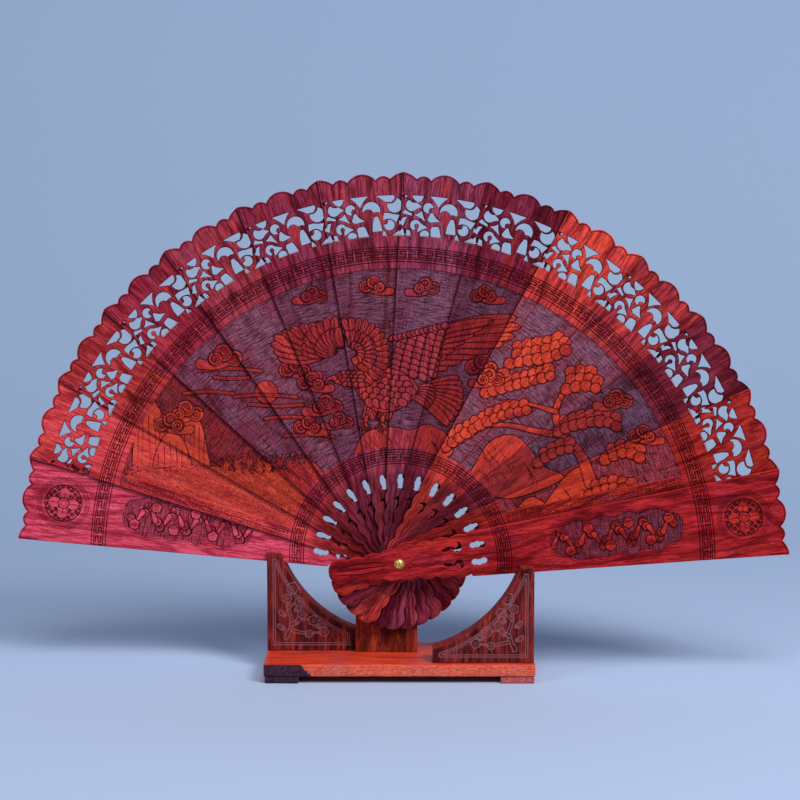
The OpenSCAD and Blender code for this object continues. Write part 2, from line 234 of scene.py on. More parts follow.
class Panel:
    """A flat field of relief: height over the ground (0 to 1), raised (0 or 1) and cut lines (0 to 1)."""

    def __init__(self, x0, x1, y0, y1):
        self.x0, self.y0 = x0, y0
        shape = (int((y1 - y0) / PANEL_STEP) + 1, int((x1 - x0) / PANEL_STEP) + 1)
        self.height = np.zeros(shape)
        self.raised = np.zeros(shape)
        self.cut = np.zeros(shape)

    def window(self, x0, x1, y0, y1, pad=1.0):
        """The rows and columns over a rectangle, and their x and y."""
        rows, cols = self.height.shape
        i0 = max(int((x0 - pad - self.x0) / PANEL_STEP), 0)
        i1 = min(int((x1 + pad - self.x0) / PANEL_STEP) + 1, cols)
        j0 = max(int((y0 - pad - self.y0) / PANEL_STEP), 0)
        j1 = min(int((y1 + pad - self.y0) / PANEL_STEP) + 1, rows)
        i1, j1 = max(i1, i0 + 1), max(j1, j0 + 1)
        x = self.x0 + PANEL_STEP * np.arange(i0, i1)
        y = self.y0 + PANEL_STEP * np.arange(j0, j1)
        return (slice(j0, j1), slice(i0, i1)), x[None, :] + 0 * y[:, None], y[:, None] + 0 * x[None, :]

    def stamp(self, place, d, top=1.0, cut=0.0, outline=1.0):
        """Raises the area where d (mm inside the shape) is positive, with a groove round it that is darkened
        as painted shade.
        """
        inside = np.clip(d / PANEL_STEP + 0.5, 0, 1)
        fall = np.clip(d / EDGE_FALL, 0, 1)
        height = top * (EDGE_HEIGHT + (1 - EDGE_HEIGHT) * np.sqrt(fall)) - CUT_DEPTH * cut
        for field, value in ((self.height, height), (self.raised, 1.0), (self.cut, cut)):
            field[place] = field[place] * (1 - inside) + value * inside
        self.engrave(place, outline * np.clip(1 - np.abs(d + OUTLINE_OUT) / OUTLINE, 0, 1))

    def engrave(self, place, line):
        """Cuts a line (0 to 1) into whatever is there."""
        self.cut[place] = np.maximum(self.cut[place], line)
        self.height[place] -= CUT_DEPTH * line * self.raised[place]

    def sample(self, field, x, y):
        """One of the panel's fields at any points."""
        rows, cols = field.shape
        u = np.clip((x - self.x0) / PANEL_STEP, 0, cols - 1.001)
        v = np.clip((y - self.y0) / PANEL_STEP, 0, rows - 1.001)
        i, j = u.astype(int), v.astype(int)
        a, b = u - i, v - j
        low = field[j, i] * (1 - a) + field[j, i + 1] * a
        high = field[j + 1, i] * (1 - a) + field[j + 1, i + 1] * a
        return low * (1 - b) + high * b


def smooth_path(points, steps=CURVE_STEPS):
    """Points along a smooth curve through the given ones."""
    p = np.array(points, float)
    if len(p) == 2:
        return np.linspace(p[0], p[1], 3)
    p = np.vstack([2 * p[0] - p[1], p, 2 * p[-1] - p[-2]])
    out = []
    for i in range(1, len(p) - 2):
        t = np.linspace(0, 1, max(steps // (len(p) - 3), 3), endpoint=False)[:, None]
        a, b, c, d = p[i - 1], p[i], p[i + 1], p[i + 2]
        curved = (2 * a - 5 * b + 4 * c - d) * t**2 + (3 * b - a - 3 * c + d) * t**3
        out.append(0.5 * (2 * b + (c - a) * t + curved))
    out.append(p[-2][None])
    return np.vstack(out)


def ribbon(x, y, path, half):
    """How far inside a strip along a path each point is, its share of the way along, and its offset."""
    seg = np.hypot(*np.diff(path, axis=0).T)
    run = np.concatenate([[0], np.cumsum(seg)])
    widths = half(run / run[-1])
    best = np.full(x.shape, -1e9)
    along = np.zeros(x.shape)
    side = np.zeros(x.shape)
    for k in range(len(seg)):
        if seg[k] < 1e-6:
            continue
        ux, uy = (path[k + 1] - path[k]) / seg[k]
        px, py = x - path[k, 0], y - path[k, 1]
        t = np.clip((px * ux + py * uy) / seg[k], 0, 1)
        d = widths[k] + (widths[k + 1] - widths[k]) * t - np.hypot(px - t * seg[k] * ux, py - t * seg[k] * uy)
        near = d > best
        best = np.where(near, d, best)
        along = np.where(near, (run[k] + t * seg[k]) / run[-1], along)
        side = np.where(near, ux * py - uy * px, side)
    return best, along, side, run[-1]


def extent(path, pad):
    """The rectangle round a path."""
    lo, hi = path.min(0) - pad, path.max(0) + pad
    return lo[0], hi[0], lo[1], hi[1]


def strip(panel, points, width, top=0.8, taper=True, vein=False, outline=1.0):
    """A raised tapering strip: a branch, a stalk, a cloud's tail."""
    path = smooth_path(points)
    place, x, y = panel.window(*extent(path, width))
    half = (lambda t: width / 2 * (1 - 0.8 * t)) if taper else (lambda t: width / 2 + 0 * t)
    d, _, side, _ = ribbon(x, y, path, half)
    cut = 0.8 * np.clip(1 - np.abs(side) / 0.28, 0, 1) * (d > 0.3) if vein else 0.0
    panel.stamp(place, d, top, cut, outline)


def scratch(panel, points, width=0.4):
    """A thin cut line."""
    path = smooth_path(points)
    place, x, y = panel.window(*extent(path, width))
    d, _, _, _ = ribbon(x, y, path, lambda t: width / 2 * (1 - 0.6 * t))
    panel.engrave(place, 0.8 * np.clip(d / 0.2 + 0.5, 0, 1))


def feather(panel, root, tip, bend, width, top=1.0, barb=1.3):
    """A feather from root to tip, bowed sideways by bend, with a shaft line and slanting barbs."""
    root, tip = np.array(root, float), np.array(tip, float)
    across = np.array([root[1] - tip[1], tip[0] - root[0]])
    across /= max(np.hypot(*across), 1e-6)
    path = smooth_path([root, (root + tip) / 2 + bend * across, tip])
    place, x, y = panel.window(*extent(path, width))

    def half(t):
        swell = np.minimum(np.sqrt(np.clip(t / 0.3, 0, 1)) * 0.5 + 0.5, 1)
        point = np.sqrt(np.clip(1 - (np.clip(t - 0.7, 0, 1) / 0.3) ** 2, 0, 1))
        return width / 2 * swell * (0.12 + 0.88 * point)

    d, along, side, length = ribbon(x, y, path, half)
    shaft = np.clip(1 - np.abs(side) / 0.24, 0, 1)
    barbs = np.clip(np.cos(2 * np.pi * (along * length - 0.8 * np.abs(side)) / barb) * 2 - 1, 0, 1)
    panel.stamp(place, d, top, np.maximum(0.85 * shaft, 0.45 * barbs) * (d > 0.1))


def scale(panel, x0, y0, radius, angle, top=0.95):
    """One small round feather, lying along angle."""
    place, x, y = panel.window(x0 - 2 * radius, x0 + 2 * radius, y0 - 2 * radius, y0 + 2 * radius)
    c, s = math.cos(angle), math.sin(angle)
    u, v = (x - x0) * c + (y - y0) * s, (y - y0) * c - (x - x0) * s
    d = radius - np.hypot(u * 0.72, v)
    cut = 0.55 * np.clip(1 - np.abs(v) / 0.22, 0, 1) * (u > -0.5 * radius)
    panel.stamp(place, d, top, cut)


def pine(panel, x0, y0, radius, angle):
    """A round cluster of needles that fan out from its base."""
    place, x, y = panel.window(x0 - radius, x0 + radius, y0 - radius, y0 + radius, pad=2)
    bx, by = x0 - 0.55 * radius * math.cos(angle), y0 - 0.55 * radius * math.sin(angle)
    phi = np.arctan2(y - by, x - bx) - angle
    phi = (phi + np.pi) % (2 * np.pi) - np.pi
    scallop = 0.06 * radius * np.cos(phi * 9)
    d = radius + scallop - np.hypot(x - x0, y - y0)
    far = np.hypot(x - bx, y - by)
    rays = np.clip(np.abs(np.sin(phi * 4.5)) * -5 + 1.2, 0, 1) * (far > 0.25 * radius) * (d > 0.2)
    panel.stamp(place, d, 0.95, 0.8 * rays)


def blob(panel, points, top, cut_lines=()):
    """A raised patch inside a smooth closed outline, with cut lines across it."""
    ring = smooth_path(list(points) + [points[0]], steps=8 * len(points))
    place, x, y = panel.window(*extent(ring, 1))
    d, _, _, _ = ribbon(x, y, ring, lambda t: 0 * t)
    inside = np.zeros(x.shape, bool)
    for a, b in zip(ring[:-1], ring[1:]):
        if a[1] == b[1]:
            continue
        hit = (a[1] > y) != (b[1] > y)
        inside ^= hit & (x < a[0] + (y - a[1]) * (b[0] - a[0]) / (b[1] - a[1]))
    panel.stamp(place, np.where(inside, -d, d), top)
    for line in cut_lines:
        scratch(panel, line)


def curl(panel, x0, y0, radius, start, way, width=1.3):
    """A cloud's spiral on a low round boss."""
    t = np.linspace(0, 1, 22)
    angle = start + way * 2 * np.pi * CURL_TURNS * t
    reach = radius * (1 - 0.8 * t)
    path = np.stack([x0 + reach * np.cos(angle), y0 + reach * np.sin(angle)], 1)
    place, x, y = panel.window(x0 - radius, x0 + radius, y0 - radius, y0 + radius)
    panel.stamp(place, radius + width / 2 - np.hypot(x - x0, y - y0), 0.7)
    place, x, y = panel.window(*extent(path, width))
    d, _, _, _ = ribbon(x, y, path, lambda t: width / 2 * (1 - 0.4 * t))
    panel.stamp(place, d, 0.9)


def cloud(panel, x0, y0, size, way):
    """A small cloud: three curls and a tail."""
    strip(panel, [(x0 - way * 2.6 * size, y0 - 0.7 * size), (x0 - way * size, y0 - 0.9 * size),
                  (x0 + way * size, y0 - 0.6 * size)], 1.1 * size, 0.75)
    curl(panel, x0 + way * 0.9 * size, y0 - 0.1 * size, 0.75 * size, 0.5, way)
    curl(panel, x0 - way * 0.2 * size, y0 + 0.5 * size, 0.8 * size, 2.5, -way)
    curl(panel, x0 - way * 1.1 * size, y0 - 0.2 * size, 0.6 * size, 2.0, way)


def mist(panel, x0, x1, y, rise):
    """A bar of mist with rounded ends."""
    strip(panel, [(x0, y), ((x0 + x1) / 2, y + rise), (x1, y)], 1.7, 0.7, taper=False, vein=True)


def grass(panel, x0, y0, blades, height, lean, rng):
    """A tuft of bowed stalks."""
    for i in range(blades):
        a = lean + (i / max(blades - 1, 1) - 0.5) * 1.5 + rng.uniform(-0.08, 0.08)
        h = height * rng.uniform(0.7, 1.05)
        foot = (x0 + 0.4 * (i - blades / 2), y0)
        mid = (x0 + 0.5 * h * math.sin(0.6 * a), y0 + 0.55 * h * math.cos(0.6 * a))
        strip(panel, [foot, mid, (x0 + h * math.sin(a), y0 + h * math.cos(a))], 1.2, 0.9, outline=0.45)


def peak(panel, x0, y0, half, height, rng):
    """A steep round-topped hill, with clefts that run down from the top."""
    shape = ((-1, 0), (-0.85, 0.55), (-0.4, 0.92), (0.1, 1), (0.55, 0.8), (0.85, 0.4), (1, 0))
    sides = [(x0 + a * half, y0 + b * height) for a, b in shape]
    clefts = []
    for share in np.linspace(-0.65, 0.65, 6):
        top = y0 + height * (0.9 - 0.45 * share * share) - rng.uniform(0, 4)
        x = x0 + share * half
        clefts.append([(x, top), (x + rng.uniform(-0.8, 0.8), top - 0.3 * height),
                       (x + rng.uniform(-1.2, 1.2), top - rng.uniform(0.4, 0.75) * height)])
    blob(panel, sides, 0.7, clefts)


def rock(panel, points, rng, strokes):
    """A raised hillside with slanting strokes in its upper part."""
    p = np.array(points, float)
    lo, hi = p.min(0), p.max(0)
    wide, tall = hi - lo
    lines = []
    for _ in range(2 * strokes):
        x = rng.uniform(lo[0] + 0.08 * wide, hi[0] - 0.12 * wide)
        y = rng.uniform(lo[1] + 0.35 * tall, hi[1] - 0.1 * tall)
        drop = rng.uniform(0.2, 0.45) * tall
        lines.append([(x, y), (x + 0.35 * drop, y - 0.5 * drop), (x + 0.2 * drop, y - drop)])
    blob(panel, points, 0.75, lines)
# ---- The picture across the blades: a great bird between clouds and pines ----
# x is right of the rivet and y is up from it.

FIELD_REACH = 150  # how far from the rivet grass grows
# Each hill's outline and how many strokes it has
HILLS = (
    (((36, 46), (46, 62), (58, 66), (66, 60), (74, 50), (84, 44), (60, 34), (44, 36)), 12),
    (((74, 30), (86, 46), (96, 50), (104, 42), (118, 38), (138, 30), (146, 18), (100, 14)), 16),
    (((54, 20), (66, 34), (76, 30), (90, 18), (100, 8), (60, 6)), 10),
    (((-24, 55), (-18, 66), (-6, 69.5), (6, 68), (14, 71), (24, 66), (26, 55), (0, 50)), 9),
)
LOW_ROCK = ((-150, 20), (-142, 42), (-120, 47), (-98, 48), (-80, 44), (-60, 46), (-44, 50), (-40, 30),
            (-90, 4))
# Each bar of mist: its ends, its height and how far its middle bows
MIST = ((-104, -71, 98, 1.2), (-96, -78, 94.5, -0.6), (-86, -53, 84.5, 1.0), (-78, -50, 80.5, -0.8),
        (-70, -44, 73, 1.2), (-112, -86, 86, 1.2), (-60, -34, 64, 0.8))
# Each cloud: its place, its size and the way it faces
CLOUDS = ((-90, 105, 5.0, 1), (-54, 99, 4.6, -1), (-46, 92, 4.0, -1), (-37, 80, 4.4, 1), (-48, 69, 3.8, -1),
          (-30, 72, 3.4, 1), (42, 101, 4.6, -1), (47, 95, 3.8, 1), (-110, 76, 4.6, 1), (-120, 70, 4.2, -1),
          (112, 84, 4.2, 1), (124, 66, 3.8, -1), (-44, 137, 3.6, 1), (-14, 142, 3.6, -1), (14, 141.5, 3.6, 1),
          (43, 137.5, 3.6, -1))
# Each branch: the points that it passes, its width
BRANCHES = (
    (((98, 42), (93, 56), (84, 66), (80, 78), (86, 92), (92, 104)), 6.5),
    (((84, 66), (70, 68), (56, 71), (44, 70), (32, 62), (24, 57)), 3.6),
    (((80, 78), (66, 82), (52, 84)), 2.8),
)
# Each bough: the points that it passes, the size of its clusters and how many rows of them
BOUGHS = (
    (((55, 101), (66, 103), (78, 105), (88, 110)), 3.1, 3),
    (((43, 86), (54, 89), (66, 92), (80, 96)), 2.8, 2),
    (((23, 57.5), (32, 64), (42, 70), (54, 75), (68, 78)), 2.8, 2),
    (((84, 88), (94, 90), (104, 88)), 3.0, 3),
    (((80, 66), (90, 70), (104, 72), (114, 68)), 3.0, 2),
    (((70, 50), (80, 56), (90, 58)), 2.7, 2),
    (((104, 52), (116, 56), (126, 52)), 3.0, 2),
    (((96, 34), (108, 38), (122, 36)), 2.8, 2),
)


def left_wing(panel):
    """The far wing, spread to the left: long feathers, then two rows of short ones."""
    root = np.array([-29.0, 108.0])
    for i in range(11):
        a = math.radians(198 - 9.5 * i)
        reach = 40 - 1.9 * abs(i - 2.5) - 0.9 * i
        tip = root + reach * np.array([math.cos(a), 0.62 * math.sin(a) + 0.10])
        tip[1] = min(tip[1], 127.5)
        feather(panel, root + 0.25 * (tip - root), tip, 2.2 - 0.25 * i, 5.0, 0.85)
    for row, reach in ((0, 21.0), (1, 14.0)):
        for i in range(8):
            a = math.radians(190 - 12.5 * i - 4 * row)
            tip = root + reach * np.array([math.cos(a), 0.75 * math.sin(a) + 0.12])
            feather(panel, root + 0.3 * (tip - root), tip, 1.2, 4.2, 0.95)


def near_wing(panel):
    """The near wing, raised over the neck: two rings of feathers about its joint."""
    centre = np.array([-24.5, 107.5])
    for ring, (inner, outer, width) in enumerate(((8.0, 19.5, 3.6), (4.0, 12.5, 3.0))):
        for i in range(15 - 3 * ring):
            a = math.radians(103 - (11.5 + 2.5 * ring) * i)
            way = np.array([math.cos(a), 0.92 * math.sin(a)])
            feather(panel, centre + inner * way, centre + outer * way, -1.0, width, 1.0, 1.2)
    for i in range(7):
        a = math.radians(75 - 24 * i)
        scale(panel, centre[0] + 4.6 * math.cos(a), centre[1] + 4.2 * math.sin(a), 1.6, a)


def right_wing(panel):
    """The wing on the right: long feathers, a row over them and small round ones at its root."""
    for root, tip in (((8, 99.5), (24, 100.5)), ((10, 102), (31, 103.5)), ((12, 105), (38, 106.5)),
                      ((13, 108), (46, 109)), ((14, 110.5), (53, 112.5)), ((15, 113), (59, 116.5)),
                      ((16, 115.5), (62, 121.5)), ((16, 118), (60, 126))):
        feather(panel, root, tip, 1.6, 5.6, 0.88, 1.5)
    upper = [(19, 101.5), (23.5, 106), (28, 110), (33, 113.8), (38, 117.5), (43, 121.2), (48, 124.8)]
    for i, tip in enumerate(upper):
        feather(panel, (10 - 0.4 * i, 100 + 2.5 * i), tip, 1.2, 4.6, 0.94, 1.4)
    for col in range(5):
        for i in range(9 - col // 2):
            t = i / 8
            x = 22 - 5.2 * col - 7.0 * t + 2.0 * t * t
            y = 121.0 - 1.6 * col - 24.0 * t
            scale(panel, x, y, 1.9, math.radians(-12 - 30 * t))
    for i in range(13):
        t = i / 12
        scale(panel, -3.5 + 27 * t, 115.2 + 6.8 * t, 1.5, math.radians(10))


def tail(panel):
    """The fanned tail: long feathers and a short row over them."""
    root = (7.5, 86.5)
    for i in range(9):
        a = math.radians(26 - 9.0 * i)
        tip = (root[0] + 25.5 * math.cos(a), root[1] + 21 * math.sin(a) - 0.5)
        feather(panel, root, tip, 1.0, 4.8, 0.9, 1.6)
    for i in range(6):
        a = math.radians(22 - 13 * i)
        feather(panel, (4.5, 87), (7.0 + 11 * math.cos(a), 87 + 10 * math.sin(a)), 0.5, 3.6, 0.97)


def body(panel):
    """The body, covered with small round feathers."""
    blob(panel, [(-22, 97), (-14, 100), (-6, 100), (3, 97), (9, 91), (8, 85), (2, 80), (-6, 77), (-13, 78),
                 (-19, 83), (-22.5, 90)], 0.9)
    for row in range(7):
        for i in range(8):
            x = -19.5 + 3.7 * i + 1.8 * (row % 2) - 0.3 * row
            y = 97 - 3.0 * row - 0.45 * i + 0.5 * math.sin(i)
            if (x + 7) ** 2 / 196 + (y - 88.5) ** 2 / 110 < 0.95:
                scale(panel, x, y, 2.0, math.radians(-58 + 5 * i), 1.0)


def legs(panel):
    """Feathered thighs, shanks and clawed toes."""
    for x0, x1 in ((-14.5, -17.0), (-7.0, -8.5)):
        for i in range(4):
            tip = (x1 + 1.3 * i - 1.6, 73.5 - 0.6 * (i % 2))
            feather(panel, (x0 + 1.6 * i - 2.4, 81), tip, 0.5, 2.6, 0.9, 1.2)
        strip(panel, [(x1, 74.5), (x1 - 0.6, 71)], 2.0, 0.8, taper=False)
        for i in range(4):
            a = math.radians(205 + 38 * i)
            toe = (x1 - 0.6 + 3.2 * math.cos(a), 70.6 + 2.6 * math.sin(a))
            strip(panel, [(x1 - 0.6, 70.8), toe, (toe[0] - 0.3, toe[1] - 1.3)], 1.5, 0.85)


def head(panel):
    """The head with its hooked beak and its eye."""
    blob(panel, [(-20, 99), (-26, 98.6), (-31, 97.4), (-34.4, 95.4), (-34.2, 92.6), (-30.5, 91.2),
                 (-25, 90.6), (-20, 90)], 0.95)
    for row in range(4):
        for i in range(4):
            x, y = -28.6 + 2.8 * i + 0.7 * (row % 2), 97 - 1.9 * row
            scale(panel, x, y, 1.3, math.radians(172 + 6 * row), 1.0)
    strip(panel, [(-33.2, 94.6), (-35.8, 94.4), (-37.6, 93.0), (-37.4, 91.2)], 2.6, 0.9)
    scratch(panel, [(-36.8, 93.0), (-33.6, 93.0), (-31.4, 93.6)], 0.4)
    place, x, y = panel.window(-33, -30, 94, 97)
    from_eye = np.hypot(x + 31.9, y - 95.3)
    panel.stamp(place, 0.85 - from_eye, 1.0, 0.9 * (from_eye < 0.4))


def bough(panel, points, radius, rows, rng):
    """A branch under rows of pine clusters."""
    path = smooth_path(points, 40)
    strip(panel, points, 2.4, 0.8)
    run = np.concatenate([[0], np.cumsum(np.hypot(*np.diff(path, axis=0).T))])
    for row in reversed(range(rows)):
        count = max(int(run[-1] * (1 - 0.12 * row) / (1.45 * radius)), 2)
        for i in range(count):
            at = run[-1] * (0.06 * row + (i + 0.3 + 0.4 * (row % 2)) / count * (1 - 0.12 * row))
            x = np.interp(at, run, path[:, 0])
            y = np.interp(at, run, path[:, 1]) + 1.2 + row * 1.35 * radius
            pine(panel, x, y, radius * rng.uniform(0.88, 1.1), math.radians(90 + rng.uniform(-25, 25)))


def pines(panel, rng):
    """A pine trunk with two limbs, its bark and its boughs."""
    for points, width in BRANCHES:
        strip(panel, points, width, 0.8)
    for i in range(9):
        x, y = 94 - 2 * i + 3 * (i % 3), 52 + 4.5 * i
        scratch(panel, [(x, y), (x - 2, y + 3)], 0.5)
    for points, radius, rows in BOUGHS:
        bough(panel, points, radius, rows, rng)


def picture():
    """The whole picture. What is further back is drawn first."""
    rng = np.random.default_rng(11)
    panel = Panel(-156, 156, -12, 156)
    # Far hills and rocks along the foot of the picture
    for points, strokes in HILLS:
        rock(panel, points, rng, strokes)
    for x0, y0, half, height in ((-129, 40, 11, 42), (-108, 38, 10, 38), (-118, 32, 12, 34)):
        peak(panel, x0, y0, half, height, rng)
    rock(panel, LOW_ROCK, rng, 6)
    pines(panel, rng)
    # The disc in the mist
    place, x, y = panel.window(-76, -62, 80, 94)
    panel.stamp(place, 6.0 - np.hypot(x + 69, y - 87), 0.7)
    for bar in MIST:
        mist(panel, *bar)
    for one in CLOUDS:
        cloud(panel, *one)
    # Rows of grass in front of the hills on the left
    for row in np.linspace(47, 14, 12):
        for x0 in np.arange(-142 + rng.uniform(0, 4), -44, 5.2):
            if math.hypot(x0, row) < FIELD_REACH and row < 58 + 0.12 * x0:
                x1, y1 = x0 + rng.uniform(-1.5, 1.5), row + rng.uniform(-1.5, 1.5)
                grass(panel, x1, y1, 4, 8, rng.uniform(-0.4, 0.4), rng)
    left_wing(panel)
    tail(panel)
    right_wing(panel)
    legs(panel)
    body(panel)
    near_wing(panel)
    head(panel)
    panel.height = np.clip(panel.height, 0, 1)
    return panel
# ---- Blades, in their own plane: s across (clockwise positive), v along from the rivet ----

FAR = 99.0  # a distance that limits nothing, in mm
CUSP = 0.4  # how much wider than its side a hollow is, so that it meets the next one in a point
FILED = 0.28  # how far the fret saw's openings are filed wider
HEAD_ROUND = 4.0  # the corners of the head's end, worn round
# Openings of the pierced border. A gap is a patch's corners and how deep each side is hollowed.
GAPS = (
    (((-12.6, 184.9), (-11.1, 186), (-9.6, 190), (-17.4, 190), (-14.9, 186.4)), (0, 0, 0, 0.2, 0)),
    (((-2, 183.4), (4.8, 190), (-9, 190)), (0.9, 0, 0.7)),
    (((11.2, 185.2), (14.2, 184.9), (15.7, 186.3), (15.7, 190), (4.2, 190)), (0, 0, 0, 0, 0.3)),
    (((-19.8, 186.3), (-18.2, 188), (-21.2, 188)), (0, 0, 0)),
    (((-19.6, 178.6), (-15.3, 177.9), (-15.5, 178.6), (-18.8, 180)), (0, 0, 0.2, 0)),
    (((19, 178.3), (24, 177), (24, 178.4), (20.3, 180)), (0, 0, 0, 0.2)),
    (((-13.2, 178.2), (-8.4, 175.9), (-10.3, 180.2)), (0.3, 0.2, 0.3)),
    (((-6.5, 176.4), (-5.2, 175.5), (-0.9, 176.3), (-4.6, 180), (-5.4, 179.7)), (0, 0, 0.5, 0, 0)),
    (((3.5, 170.6), (8, 170.6), (7.2, 175), (6.3, 177.6), (5.1, 177.5), (3.9, 174.4)), (0, 0, 0, 0, 0, 0)),
    (((9.4, 176), (15.5, 174.3), (17.3, 177.5), (12.3, 178.9), (10, 179)), (1.3, 0, 0.2, 0, 0)),
    (((-20.5, 173.2), (-18.9, 172.4), (-17.8, 176.4), (-18.8, 176.6)), (0, 0.2, 0, 0)),
    (((17.5, 172.6), (18.8, 171.8), (21.2, 176), (18.9, 176), (17.4, 174.2)), (0, 0.2, 0, 0, 0)),
    (((-4, 166), (2.4, 166), (-0.3, 171.8), (-1.2, 173.2), (-3.9, 172.8), (-4.4, 171.6)),
     (0, 0.4, 0, 0, 0, 0.2)),
    (((7.6, 166.6), (11.6, 166.6), (8.9, 170.1)), (0, 0.2, 0.1)),
    (((13, 167.4), (19, 165), (18.6, 170.4)), (0, 0, 0)),
    (((-21.6, 166), (-13.4, 166), (-15.4, 169.8), (-19, 170.2)), (0, 0.2, 0, 0)),
)
# An eye is a disc, a patch that it runs into, and the discs that are left standing in it.
EYES = (
    ((-15.6, 182.9, 2.7), (((-15.6, 180.2), (-10.9, 182.7), (-15, 185.2)), (0, 0, 0)),
     ((-14.6, 187.5, 3.3),)),
    ((15.7, 182.8, 3.5), None, ((13.8, 187.3, 3.5),)),
    ((-7.1, 182.4, 2.3), None, ((-5.3, 181.2, 1.5),)),
    ((3.6, 181.1, 4.2), None, ((1.8, 179.2, 2.8), (5.9, 177, 3.3))),
    ((12, 173, 2.4), None, ((10, 174.9, 1.5),)),
    ((-12.6, 173, 2.4), (((-12.4, 170.8), (-10.9, 170), (-6.8, 172.4), (-12.2, 175.4)), (0, 0.2, 0.2, 0)),
     ((-12, 172.7, 1.2), (-12, 171.6, 0.8), (-12, 170.4, 0.8))),
    ((-7.4, 168.5, 2.1), None, ()),
)
# Radii of the engraved lines, the fret bands and the picture field
LINES = (50.5, 51.8, 56.4, 57.7, 154.6, 156.0, 160.8, 162.0)
LINE_W = 0.5
LINE_DEPTH = 0.28
FRETS = ((52.3, 55.5), (156.5, 160.3))
FRET_DEPTH = 0.22
# The S of the key fret, from its bottom row up
FULL_ROW = (1, 1, 1, 1, 1)
FRET_CELLS = np.array([FULL_ROW, (0, 0, 0, 0, 1), FULL_ROW, (1, 0, 0, 0, 0), FULL_ROW])
FIELD = (59.5, 151.3)
GROUND_DEPTH = 0.55
RIM_LINE = 0.75
# Where a blade's rows of points change their spacing, and the spacing from there on
ROWS = ((-HEAD_R - 0.6, 0.5), (20, 0.42), (49, 0.36), (59.4, 0.4), (151.4, 0.36), (166.6, 0.34),
        (FAN_R + 1.5, 0))
PLAIN_RIM_STEP = 0.4  # the last spacing on a blade with no openwork


def arc_radius(width, rise):
    """The radius of an arc from its width and its rise."""
    return (width * width / 4 + rise * rise) / (2 * rise)


def disc_d(x, v, cx, cv, r):
    return r - np.hypot(x - cx, v - cv)


def gap_d(x, v, points, bites):
    """Inside distance to a convex patch whose sides are hollowed by arcs, its corners counterclockwise."""
    d = np.full(x.shape, FAR)
    for i, (a, depth) in enumerate(zip(points, bites)):
        b = points[(i + 1) % len(points)]
        length = math.dist(a, b)
        out = ((b[1] - a[1]) / length, (a[0] - b[0]) / length)
        d = np.minimum(d, -(x - a[0]) * out[0] - (v - a[1]) * out[1])
        if depth:
            r = arc_radius(length + CUSP, depth)
            cx, cv = (a[0] + b[0]) / 2 + (r - depth) * out[0], (a[1] + b[1]) / 2 + (r - depth) * out[1]
            d = np.minimum(d, np.hypot(x - cx, v - cv) - r)
    return d


def openings_d(s, v):
    """Inside distance to the openings between the scrolls."""
    d = np.full(s.shape, -FAR)
    for points, bites in GAPS:
        d = np.maximum(d, gap_d(s, v, points, bites) + FILED)
    for disc, patch, left in EYES:
        eye = disc_d(s, v, *disc) + FILED
        if patch:
            eye = np.maximum(eye, gap_d(s, v, *patch) + FILED)
        for ball in left:
            eye = np.minimum(eye, -disc_d(s, v, *ball))
        d = np.maximum(d, eye)
    return d


def half_w(v):
    """Half of a blade's width."""
    taper = np.clip(-v / HEAD_TAPER_END, 0, 1)
    return ROOT_HALF_W + np.where(v > 0, FLARE * v, (HEAD_HALF_W - ROOT_HALF_W) * taper)


def side_d(s, v):
    """Inside distance to a blade's two long sides, scalloped along the head and neck."""
    narrow = SCALLOP_H * np.clip((SCALLOP_END + SCALLOP_EASE - v) / SCALLOP_EASE, 0, 1)
    d = half_w(v) - narrow - np.abs(s)
    for at in SCALLOPS:
        centre = half_w(np.array(at)) - SCALLOP_R
        d = np.maximum(d, SCALLOP_R - np.hypot(np.abs(s) - centre, v - at))
    return d


def outline_d(s, v):
    """Inside distance to a blade's outer edge."""
    edge_half = ROOT_HALF_W + FLARE * FAN_R
    edge_lobe = 2 * (edge_half - BIG_LOBE / 2 - SMALL_LOBE)
    lobes = ((0, BIG_LOBE, LOBE_H), ((BIG_LOBE + SMALL_LOBE) / 2, SMALL_LOBE, SMALL_RISE),
             (edge_half, edge_lobe, EDGE_RISE))
    rim = VALLEY - v
    for at, width, rise in lobes:
        r = arc_radius(width, rise)
        rim = np.maximum(rim, disc_d(np.abs(s), v, at, VALLEY + rise - r, r))
    side = side_d(s, v)
    end = np.where(v < 0, HEAD_R - np.hypot(s, v), FAR)
    round_end = HEAD_ROUND - np.hypot(np.maximum(HEAD_ROUND - side, 0), np.maximum(HEAD_ROUND - end, 0))
    d = np.minimum(rim, np.where(end < HEAD_ROUND, np.minimum(round_end, np.minimum(side, end)), side))
    return np.minimum(d, np.hypot(s, v) - BORE_R)


